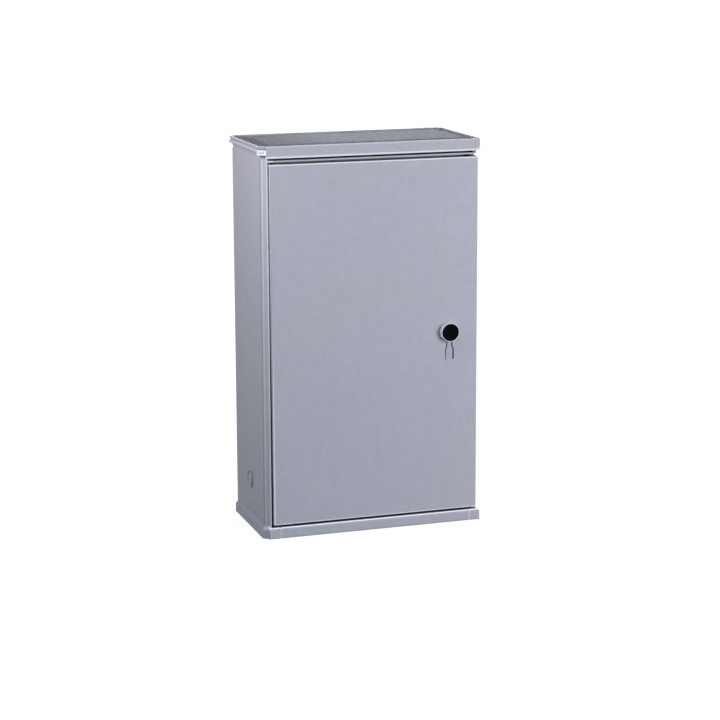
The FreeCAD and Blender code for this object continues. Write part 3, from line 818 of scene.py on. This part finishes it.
def ledgeProfile(values, width, top):
    # section of the ring; a lower top cuts the slope short
    rise = ledgeTop - values["faceHeight"]
    run = values["ledgeRun"] * (top - values["faceHeight"]) / rise
    under = ledgeTop - values["flange"]
    return [(0, 0), (0, values["faceHeight"]), (run, top), (width, top), (width, under),
            (values["wall"], under), (values["wall"], 0)]


def sillProfile(values, width):
    low, high = ledgeProfile(values, width, sillTop), ledgeTop - values["lift"]
    return low[:3] + [(sillStep, sillTop), (sillStep, high), (width, high)] + low[4:]


def makeBaseRails():
    width, joint = base["ringWidth"], base["joint"]
    corner = base["cornerLength"] + joint
    left, right = baseLeft + corner, baseRight - corner
    front, rear = baseFront + corner, baseRear - corner
    full = ledgeProfile(base, width, ledgeTop - base["lift"])
    low = ledgeProfile(base, width, sillTop)
    hingeSide = baseLeft + base["hingeCorner"] + 0.1 * mm
    runs = {
        "front": [(sillProfile(base, width), [lambda i, z, x=x: (x, baseFront + i, z)
                                              for x in (hingeSide, right)])],
        "rear": [(ledgeProfile(base, width, ledgeTop), [lambda i, z, x=x: (x, baseRear - i, z)
                                                        for x in (left, right)])],
        "left": [(full, [lambda i, z, y=y: (baseLeft + i, y, z) for y in (front, rear)])],
        "right": [(low, [lambda i, z, y=y: (baseRight - i, y, z)
                         for y in (front, closingPanelFront)]),
                  (full, [lambda i, z, y=y: (baseRight - i, y, z)
                          for y in (closingPanelFront, rear)])],
    }
    for side, sweeps in runs.items():
        bm = bmesh.new()
        for profile, stations in sweeps:
            sweepProfile(bm, profile, stations)
        softenEdges(bm, base["softness"])
        skin = baseFrontSkin if side == "front" else baseSideSkin
        finishPiece(bm, "base_plinth_" + side, "root", skin, ["base_" + side + "_rail"])


def makeBaseCorners():
    reach, chamfer = base["cornerLength"], base["chamfer"]
    inner = reach - 1 * mm
    for end in ("front", "rear"):
        for side in ("left", "right"):
            bm = bmesh.new()
            if (end, side) == ("front", "right"):
                sweepCorner(bm, ledgeProfile(base, inner, sillTop), baseLeft, baseFront,
                            base["doorChamfer"], reach, square=True)
            else:
                sweepCorner(bm, ledgeProfile(base, inner, ledgeTop), baseLeft, baseFront, chamfer,
                            reach)
            if (end, side) == ("front", "left"):
                cutAway(bm, (-postInner, 0, 0), (1, 0, 0))
                strip = ledgeProfile(base, max(inner, sillStep + 0.5 * mm), sillTop)
                under, high = ledgeTop - base["flange"], ledgeTop - base["lift"]
                step, width = max(inner, sillStep), base["ringWidth"]
                rest = [(step, under), (step, high), (width, high), (width, under)]
                for profile, start in ((strip, -postInner), (rest, baseLeft + reach)):
                    sweepProfile(bm, profile, [lambda i, z, x=x: (x, baseFront + i, z)
                                               for x in (start, baseLeft + base["hingeCorner"])])
            if end == "rear":
                # seat under the square rear corner of the panels
                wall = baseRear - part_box("rear_panel")[1].y
                addBlock(bm, (panelLeft, baseFront + wall, base["faceHeight"]),
                         (baseLeft + inner, baseFront + inner, ledgeTop))
            softenEdges(bm, base["softness"])
            if side == "right":
                mirrorAcross(bm, (baseLeft + baseRight) / 2)
            if end == "rear":
                turnedOver(bm, (baseFront + baseRear) / 2)
            skin = {"left": baseBlockSkin, "right": baseFrontSkin}[side] if end == "front" \
                else baseSideSkin
            finishPiece(bm, "base_block_" + end + "_" + side, "root", skin,
                        ["base_corner_" + end + "_" + side])


makeBaseRails()
makeBaseCorners()
print("base made")


# Body: side and rear panels, front posts and the rail under the crown

body = {
    "postChamfer": 12 * mm, "postLand": 2 * mm, "postRadius": 2.6 * mm, "panelSoftness": 0.5 * mm,
    "railSoftness": 0.9 * mm, "railHeight": 4 * mm, "railWall": 3 * mm, "postLap": 1.2 * mm,
    "closingDepth": 30.5 * mm, "closingGap": 8.5 * mm,
}
postFront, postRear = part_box("post_front_left")[0].y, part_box("post_front_left")[1].y
railLow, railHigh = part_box("vent_rail")


# painted shade in the groove between the post and the side panel
seamShade = ("dark", 0.6, (back, postFront + body["postChamfer"] + body["postLand"] + 1 * mm, 5 * mm))
cutFace = (back, postFront + 6 * mm, 9 * mm)
railFoot = railHigh.z - body["railHeight"]
# painted light on the post's cut face, painted highlights on its two rounded edges and on the lap edge
# beside the hinge gap, strongest in the upper part
postSkin = makePolyester("postPolyester", {**upwardFadingShade, "edgeShare": 0.5}, bands=[
    seamShade, ("pale", 0.55, (back, postFront + 6 * mm, 14 * mm)),
    ("highlight", 0.3, (right, panelLeft + 2.6 * mm, 2 * mm), cutFace),
    ("highlight", 0.5, (right, panelLeft + 11.6 * mm, 2 * mm), cutFace),
    ("highlight", 0.85, (right, body["postLap"] - postInner + 0.4 * mm, 1.2 * mm),
     (up, 0.9, 0.75))])
# painted shade where the closing post shows in the gaps under and above the door and in the vent slot
closingSkin = makePolyester("closingPolyester", {**polyester, "edgeShare": 0.3}, bands=[
    seamShade, ("dark", 0.9, (up, sillTop + 2 * mm, 9 * mm)),
    ("dark", 0.85, (up, (railHigh.z + crownFoot) / 2, 5 * mm)),
    ("dark", 0.85, (up, (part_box("door_panel")[1].z + railFoot) / 2, 5 * mm))])
sideSkin = makePolyester("sidePolyester", polyester, bands=[seamShade])
# painted highlight on the rail next to the left post
railSkin = makePolyester("railPolyester", polyester, bands=[
    ("highlight", 0.3, (right, -postInner + 6 * mm, 12 * mm))])


def frontPostOutline():
    sideEnd = postFront + body["postChamfer"]
    land = sideEnd + body["postLand"]
    inner = -postInner + body["postLap"]
    return [(panelLeft, sideEnd), (-postInner, postFront), (inner, postFront), (inner, postRear),
            (panelInner, postRear), (panelInner, land), (panelLeft, land)]


def atHeights(low, high):
    return [lambda a, b, z=z: (a, b, z) for z in (low, high)]


def roundPost(bm):
    # the two upright edges of the cut corner are rounded most
    def isCutCorner(edge):
        mid = (edge.verts[0].co + edge.verts[1].co) / 2
        upright = abs(edge.verts[0].co.z - edge.verts[1].co.z) > 10 * mm
        return upright and mid.y < postFront + body["postChamfer"] + tiny
    softenEdges(bm, body["postRadius"], 4, chosen=isCutCorner)
    softenEdges(bm, body["panelSoftness"], 2, above=50)


def makePosts():
    bm = bmesh.new()
    sweepProfile(bm, frontPostOutline(), atHeights(ledgeTop, crownFoot))
    roundPost(bm)
    finishPiece(bm, "corner_post_left", "root", postSkin, ["post_front_left"])

    low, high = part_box("post_front_right")
    bm = bmesh.new()
    sweepProfile(bm, frontPostOutline(), atHeights(railFoot, crownFoot))
    mirrorAcross(bm, 0)
    outer = high.x - 3.5 * mm
    closingOuter = outer - body["closingGap"] + 3.5 * mm
    inner = low.x
    lap = closingPanelFront + 2 * mm
    outline = [(closingOuter, high.y - body["closingDepth"]), (inner, high.y - body["closingDepth"]),
               (inner, high.y), (outer, high.y), (outer, lap), (closingOuter, lap)]
    sweepProfile(bm, outline, atHeights(sillTop, railFoot))
    roundPost(bm)
    finishPiece(bm, "corner_post_right", "root", closingSkin, ["post_front_right"])


def makePanels():
    for side in ("left", "right"):
        name = side + "_side_panel"
        low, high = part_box(name)
        outline = [(low.y, low.z), (high.y, low.z), (high.y, high.z), (low.y, high.z)]
        if side == "right":
            outline = [(closingPanelFront, low.z), (high.y, low.z), (high.y, high.z),
                       (low.y, high.z), (low.y, railFoot), (closingPanelFront, railFoot)]
        bm = bmesh.new()
        sweepProfile(bm, outline, [lambda a, b, x=x: (x, a, b) for x in (low.x, high.x)])
        softenEdges(bm, body["panelSoftness"])
        finishPiece(bm, "side_sheet_" + side, "root", sideSkin, [name])
    low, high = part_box("rear_panel")
    bm = bmesh.new()
    addBlock(bm, low, high)
    softenEdges(bm, body["panelSoftness"])
    finishPiece(bm, "rear_sheet", "root", bodySkin, ["rear_panel"])


def makeVentRail():
    lip, inner = railHigh.y - body["railWall"], postInner - body["postLap"] - 0.1 * mm
    outline = [(railLow.y, railFoot), (railLow.y, railHigh.z), (railHigh.y, railHigh.z),
               (railHigh.y, railLow.z), (lip, railLow.z), (lip, railFoot)]
    bm = bmesh.new()
    sweepProfile(bm, outline, [lambda a, b, x=x: (x, a, b) for x in (-inner, inner)])
    softenEdges(bm, body["railSoftness"])
    finishPiece(bm, "vent_strip", "root", railSkin, ["vent_rail"])


cablePlug = {
    "radius": 21 * mm, "proud": 2 * mm, "rim": 1.7 * mm, "floor": 0.4 * mm, "disc": 14 * mm,
    "discProud": 1.7 * mm, "dimple": 2.6 * mm, "stub": 6 * mm, "bore": 18.7 * mm,
}


def makeCablePlugs():
    for side, way in (("left", -1), ("right", 1)):
        name = side + "_cable_plug"
        low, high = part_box(name)
        centre = ((panelLeft if side == "left" else -panelLeft), (low.y + high.y) / 2,
                  (low.z + high.z) / 2)
        v = cablePlug
        radius, proud, raised, floor = v["radius"], v["proud"], v["discProud"], v["floor"]
        profile = [
            (0, floor), (v["dimple"] * 0.7, floor), (v["dimple"], raised * 0.95),
            (v["dimple"] * 1.3, raised), (v["disc"] - 2 * mm, raised), (v["disc"] - 0.5 * mm, raised * 0.8),
            (v["disc"], floor), (radius - v["rim"] - 0.6 * mm, floor),
            (radius - v["rim"], proud - 0.4 * mm), (radius - v["rim"] + 0.4 * mm, proud),
            (radius - 0.6 * mm, proud), (radius, proud - 0.6 * mm), (radius, 0),
            (v["bore"], 0), (v["bore"], -v["stub"]), (0, -v["stub"]),
        ]
        bm = bmesh.new()
        addRing(bm, profile, centre, (way, 0, 0), closed=False)
        finishPiece(bm, "grommet_" + side, "root", plugSkin, [name])


makePosts()
makePanels()
makeVentRail()
makeCablePlugs()
print("body made")


# Door: a tray with rounded sides, a raised field and a notch for the closing post

door = {
    "skin": 3.5 * mm, "sideRadius": 3 * mm, "edgeRadius": 2 * mm, "fieldMargin": 20 * mm,
    "hingeLap": 0.8 * mm,
    "fieldHeight": 0.6 * mm, "fieldSlope": 5 * mm, "rimSoftness": 0.5 * mm, "gap": 5 * mm,
}
doorLow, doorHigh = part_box("door_panel")
doorFace = doorLow.y + door["fieldHeight"]
skinBack = doorFace + door["skin"]
pivotLow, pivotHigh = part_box("hinge_pin_upper")
pivotX, pivotY = (pivotLow.x + pivotHigh.x) / 2, (pivotLow.y + pivotHigh.y) / 2
lock = {
    "core": 20.2 * mm, "gap": 0.1 * mm, "bezelWall": 1.5 * mm,
    "bezelHeight": 12 * mm, "keyRadius": 4.5 * mm, "keyDepth": 5 * mm, "coreEdge": 0.8 * mm,
    "shaft": 8 * mm, "tabHeight": 4 * mm, "tabNeck": 4.6 * mm, "tabHalf": 7.9 * mm,
    "neckLength": 11 * mm, "shoulder": 6 * mm, "tabLength": 45 * mm, "tabSoftness": 1.4 * mm,
    "slotWidths": (1.3 * mm, 4.4 * mm), "slotDepth": 2 * mm, "slotFill": 0.8 * mm,
    "tabFoot": 0.3 * mm,
}
lockCentre = (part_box("lock_core")[0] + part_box("lock_core")[1]) / 2
lockX, lockZ = lockCentre.x, lockCentre.z
bezelRadius = lock["core"] + lock["gap"] + lock["bezelWall"]
tabTop = lockZ - (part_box("lock_bezel")[1].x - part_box("lock_bezel")[0].x) / 2


def roundedPlan(wall):
    # plan of the tray with its two front corners rounded
    radius = max(door["sideRadius"] - wall, 1 * mm)
    left, right, front = doorLow.x - door["hingeLap"] + wall, doorHigh.x - wall, doorFace + wall
    points = [(left, doorHigh.y + (1 * mm if wall else 0))]
    for cx, start in ((left + radius, 180), (right - radius, 270)):
        for step in range(9):
            a = radians(start + step * 90 / 8)
            points.append((cx + radius * cos(a), front + radius + radius * sin(a)))
    points.append((right, doorHigh.y + (1 * mm if wall else 0)))
    return points


def tabSlotOutline(way, inner, outer):
    # band beside the tab's left (-1) or right (1) edge, from the neck to near the tab's foot
    neckEnd, foot = tabTop - lock["neckLength"], tabTop - lock["tabLength"]
    neck, half = lock["tabNeck"], lock["tabHalf"]
    points = [(neck, tabTop - 1 * mm), (neck, neckEnd), (half, neckEnd - lock["shoulder"]),
              (half, foot + 3 * mm)]
    edge = [(lockX + way * (x + inner), z) for x, z in points]
    return edge + [(lockX + way * (x + outer), z) for x, z in reversed(points)]


def makeDoor():
    bm = bmesh.new()
    sweepProfile(bm, roundedPlan(0), atHeights(doorLow.z, doorHigh.z))
    bmesh.ops.recalc_face_normals(bm, faces=bm.faces)

    def isEndEdge(edge):
        first, second = edge.verts[0].co, edge.verts[1].co
        level = abs(first.z - second.z) < tiny
        return level and (first.y + second.y) / 2 < doorFace + door["sideRadius"] - tiny
    softenEdges(bm, door["edgeRadius"], 4, above=60, chosen=isEndEdge)

    margin = door["fieldMargin"]
    cuts = (((doorLow.x + margin, 0, 0), (1, 0, 0)), ((doorHigh.x - margin, 0, 0), (1, 0, 0)),
            ((0, 0, doorLow.z + margin), (0, 0, 1)), ((0, 0, doorHigh.z - margin), (0, 0, 1)))
    for point, normal in cuts:
        flat = [face for face in bm.faces if face.normal.y < -0.999]
        edges = list({edge for face in flat for edge in face.edges})
        verts = list({vert for face in flat for vert in face.verts})
        bmesh.ops.bisect_plane(bm, geom=flat + edges + verts, plane_co=point, plane_no=normal)
    middle = Vector(((doorLow.x + doorHigh.x) / 2, doorFace, (doorLow.z + doorHigh.z) / 2))
    field = min(bm.faces, key=lambda face: (face.calc_center_median() - middle).length)
    bmesh.ops.inset_region(bm, faces=[field], thickness=door["fieldSlope"])
    bmesh.ops.translate(bm, vec=(0, -door["fieldHeight"], 0), verts=field.verts)

    hollow = bmesh.new()
    sweepProfile(hollow, roundedPlan(door["skin"]),
                 atHeights(doorLow.z + door["skin"], doorHigh.z - door["skin"]))
    bm = carve(bm, hollow)
    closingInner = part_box("post_front_right")[0].x
    notch = bmesh.new()
    addBlock(notch, (closingInner - door["gap"], skinBack + tiny, doorLow.z - 1 * mm),
             (doorHigh.x - door["skin"] - tiny, doorHigh.y + 1 * mm, doorHigh.z + 1 * mm))
    bm = carve(bm, notch)
    for centre, axis, radius, reach in (
            ((pivotX, pivotY, (doorLow.z + doorHigh.z) / 2), (0, 0, 1), 3.3 * mm, 0.5),
            ((lockX, doorFace, lockZ), (0, 1, 0), lock["shaft"] + 0.3 * mm, 0.01)):
        bore = bmesh.new()
        addRing(bore, [(0, -reach), (radius, -reach), (radius, reach), (0, reach)], centre, axis,
                steps=32, closed=False)
        bm = carve(bm, bore)
    for way, width in zip((-1, 1), lock["slotWidths"]):
        slot = bmesh.new()
        sweepProfile(slot, tabSlotOutline(way, 0, width),
                     [lambda a, b, y=y: (a, y, b) for y in (doorLow.y - 1 * mm,
                                                           doorLow.y + lock["slotDepth"])])
        bm = carve(bm, slot)
    piece = finishPiece(bm, "door_leaf", "door", doorSkin, ["door_panel"])
    return piece


def makeTabSlot():
    # dark sheets in the slots beside the tab: painted shade
    bm = bmesh.new()
    deep = doorLow.y + lock["slotDepth"]
    for way, width in zip((-1, 1), lock["slotWidths"]):
        sweepProfile(bm, tabSlotOutline(way, 0.05 * mm, width - 0.05 * mm),
                     [lambda a, b, y=y: (a, y, b) for y in (deep - lock["slotFill"],
                                                           deep + 0.3 * mm)])
    softenEdges(bm, 0.15 * mm)
    finishPiece(bm, "tab_slot_shade_sheet", "door", paintedShade)


def makeLock():
    front = doorLow.y - lock["bezelHeight"]
    inner, height = lock["core"] + lock["gap"], lock["bezelHeight"]
    soft = lock["bezelWall"] / 3
    rounded = []
    for a in range(0, 91, 18):
        rounded.append((inner + soft - soft * cos(radians(a)),
                        height - soft + soft * sin(radians(a))))
    for a in range(90, -1, -18):
        rounded.append((bezelRadius - soft + soft * cos(radians(a)),
                        height - soft + soft * sin(radians(a))))
    profile = [(inner, 0)] + rounded + [(bezelRadius, 1.2 * mm), (bezelRadius + 0.7 * mm, 0)]
    bm = bmesh.new()
    addRing(bm, profile, (lockX, doorLow.y, lockZ), (0, -1, 0), steps=128)
    finishPiece(bm, "lock_boss", "door", ringSkin, ["lock_bezel"])

    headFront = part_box("lock_core")[0].y
    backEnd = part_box("lock_core")[1].y
    edge = lock["coreEdge"]
    dish = 0.5 * mm
    profile = [(0, -dish), (lock["core"] * 0.8, -dish), (lock["core"] * 0.86, 0)]
    profile += [(lock["core"] - edge + edge * sin(radians(a)), -(edge - edge * cos(radians(a))))
                for a in range(0, 91, 18)]
    floorDepth = doorLow.y - headFront - 0.3 * mm
    driverFront = skinBack + 5 * mm - headFront
    profile += [(lock["core"], -floorDepth), (lock["shaft"], -floorDepth),
                (lock["shaft"], -driverFront), (12 * mm, -driverFront),
                (12 * mm, -driverFront - 3 * mm), (lock["shaft"], -driverFront - 3 * mm),
                (lock["shaft"], headFront - backEnd), (0, headFront - backEnd)]
    bm = bmesh.new()
    addRing(bm, profile, (lockX, headFront, lockZ), (0, -1, 0), closed=False)
    key = bmesh.new()
    corners = [(lockX + lock["keyRadius"] * cos(radians(a)),
                lockZ + lock["keyRadius"] * sin(radians(a))) for a in (90, 210, 330)]
    sweepProfile(key, corners, [lambda a, b, y=y: (a, y, b)
                                for y in (headFront - 1 * mm, headFront + lock["keyDepth"])])
    bm = carve(bm, key)
    finishPiece(bm, "lock_barrel", "lock", capBlack, ["lock_core"])

    neckEnd, foot = tabTop - lock["neckLength"], tabTop - lock["tabLength"]
    neck, half = lock["tabNeck"], lock["tabHalf"]
    shoulder = neckEnd - lock["shoulder"]
    outline = [(neck, tabTop + 2 * mm), (neck, neckEnd), (half, shoulder), (half, foot), (-half, foot),
               (-half, shoulder), (-neck, neckEnd), (-neck, tabTop + 2 * mm)]
    outline = [(lockX + x, z) for x, z in outline]
    bm = bmesh.new()
    sweepProfile(bm, outline, [lambda a, b, y=y: (a, y, b)
                               for y in (doorLow.y, doorLow.y - lock["tabHeight"])])
    softenEdges(bm, lock["tabSoftness"], 3, chosen=lambda e: min(v.co.y for v in e.verts)
                < doorLow.y - lock["tabHeight"] + tiny)
    for vert in bm.verts:
        # the tab slopes down to its foot
        along = min(max((vert.co.z - foot) / (shoulder - foot), 0), 1)
        thin = lock["tabFoot"] / lock["tabHeight"]
        vert.co.y = doorLow.y + (vert.co.y - doorLow.y) * (thin + (1 - thin) * along)
    finishPiece(bm, "lock_finger_tab", "door", bossSkin, ["lock_tab"])


makeDoor()
makeTabSlot()
makeLock()
print("door and lock made")


# CAD nodes that stay, with their finishes
keptNodes = {
    "floor_panel": bodySkin, "post_rear_left": bodySkin, "post_rear_right": bodySkin,
    "door_stiffener_lower": bodySkin, "door_stiffener_upper": bodySkin,
    "hinge_socket_lower": bodySkin, "hinge_socket_upper": bodySkin, "lock_case": capBlack,
    "hinge_pin_lower": pinZinc, "hinge_pin_upper": pinZinc,
}
for name, material in keptNodes.items():
    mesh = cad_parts[name].data
    mesh.materials.clear()
    mesh.materials.append(material)
print("kept nodes finished")


# Studio
studio = {
    "floorSize": 90.0, "floorTone": (0.14, 0.14, 0.15), "floorWhite": (0.93, 1.0), "clearing": (1.0, 3.0),
    "skyTone": (0.70, 0.95, 1.27), "skyStrength": 0.143,
}
lamps = {
    "keyRight": {"at": (2.45, -3.6, 0.85), "to": (0.15, -0.1, 0.45), "size": 2.8, "power": 204.0,
                 "tint": (1.0, 1.0, 1.008)},
    "upperLeft": {"at": (-1.1, -0.35, 1.25), "to": (-0.26, 0.0, 0.85), "size": 0.35, "power": 9.2,
                  "tint": (1.0, 0.99, 1.0)},
    "rearTop": {"at": (0.9, 2.4, 2.2), "to": (0.0, 0.0, 0.5), "size": 1.2, "power": 64.0,
                "tint": (1.0, 1.0, 1.0)},
}
camera = {
    "at": (-1.5154, -4.6333, 1.4224), "yaw": 18.24, "pitch": 11.04, "roll": -0.23,
    "lens": 106.3, "shiftY": -0.0556,
}


def whiteToView(tree):
    # 1 for rays that should see the white backdrop: camera, mirror and glass
    path = tree.nodes.new("ShaderNodeLightPath").outputs
    seen = calc(tree, "MAXIMUM", path["Is Camera Ray"], path["Is Glossy Ray"])
    return calc(tree, "MAXIMUM", seen, path["Is Transmission Ray"])


def makeFloor():
    material = bpy.data.materials.new("paleFloor")
    material.use_nodes = True
    tree = material.node_tree
    tree.nodes.clear()
    plain = tree.nodes.new("ShaderNodeBsdfDiffuse")
    plain.inputs["Color"].default_value = (*studio["floorTone"], 1)
    glow = tree.nodes.new("ShaderNodeEmission")
    away = tree.nodes.new("ShaderNodeVectorMath")
    away.operation = "LENGTH"
    connect(tree, objectPoint(tree), away.inputs[0])
    connect(tree, mapRange(tree, away.outputs["Value"], *studio["clearing"], *studio["floorWhite"],
                           True), glow.inputs["Strength"])
    both = tree.nodes.new("ShaderNodeAddShader")
    tree.links.new(plain.outputs[0], both.inputs[0])
    tree.links.new(glow.outputs[0], both.inputs[1])
    chosen = tree.nodes.new("ShaderNodeMixShader")
    connect(tree, whiteToView(tree), chosen.inputs[0])
    tree.links.new(plain.outputs[0], chosen.inputs[1])
    tree.links.new(both.outputs[0], chosen.inputs[2])
    tree.links.new(chosen.outputs[0], tree.nodes.new("ShaderNodeOutputMaterial").inputs[0])
    bm = bmesh.new()
    bmesh.ops.create_grid(bm, x_segments=1, y_segments=1, size=studio["floorSize"])
    mesh = bpy.data.meshes.new("studio_floor")
    bm.to_mesh(mesh)
    bm.free()
    mesh.materials.append(material)
    floor = bpy.data.objects.new("studio_floor", mesh)
    bpy.context.scene.collection.objects.link(floor)


def makeSky():
    world = bpy.data.worlds.new("studioSky")
    world.use_nodes = True
    tree = world.node_tree
    tree.nodes.clear()
    dim = tree.nodes.new("ShaderNodeBackground")
    dim.inputs["Color"].default_value = (*studio["skyTone"], 1)
    dim.inputs["Strength"].default_value = studio["skyStrength"]
    white = tree.nodes.new("ShaderNodeBackground")
    white.inputs["Color"].default_value = (1, 1, 1, 1)
    chosen = tree.nodes.new("ShaderNodeMixShader")
    connect(tree, whiteToView(tree), chosen.inputs[0])
    tree.links.new(dim.outputs[0], chosen.inputs[1])
    tree.links.new(white.outputs[0], chosen.inputs[2])
    tree.links.new(chosen.outputs[0], tree.nodes.new("ShaderNodeOutputWorld").inputs[0])
    bpy.context.scene.world = world


def makeLamps():
    for name, values in lamps.items():
        light = bpy.data.lights.new(name, "AREA")
        light.shape, light.size, light.energy = "DISK", values["size"], values["power"]
        light.color = values["tint"]
        lamp = bpy.data.objects.new(name, light)
        lamp.location = values["at"]
        aim = Vector(values["to"]) - Vector(values["at"])
        lamp.rotation_euler = aim.to_track_quat("-Z", "Y").to_euler()
        bpy.context.scene.collection.objects.link(lamp)


def makeCamera():
    lens = bpy.data.cameras.new("photoCamera")
    lens.lens, lens.shift_y = camera["lens"], camera["shiftY"]
    lens.clip_start, lens.clip_end = 0.1, 300
    viewer = bpy.data.objects.new("photoCamera", lens)
    turn = Euler((radians(90 - camera["pitch"]), 0, -radians(camera["yaw"]))).to_matrix()
    turn = turn @ Matrix.Rotation(radians(camera["roll"]), 3, "Z")
    viewer.rotation_euler = turn.to_euler()
    viewer.location = camera["at"]
    bpy.context.scene.collection.objects.link(viewer)
    bpy.context.scene.camera = viewer


makeFloor()
makeSky()
makeLamps()
makeCamera()
bpy.context.scene.view_settings.view_transform = "Standard"
print("studio made")
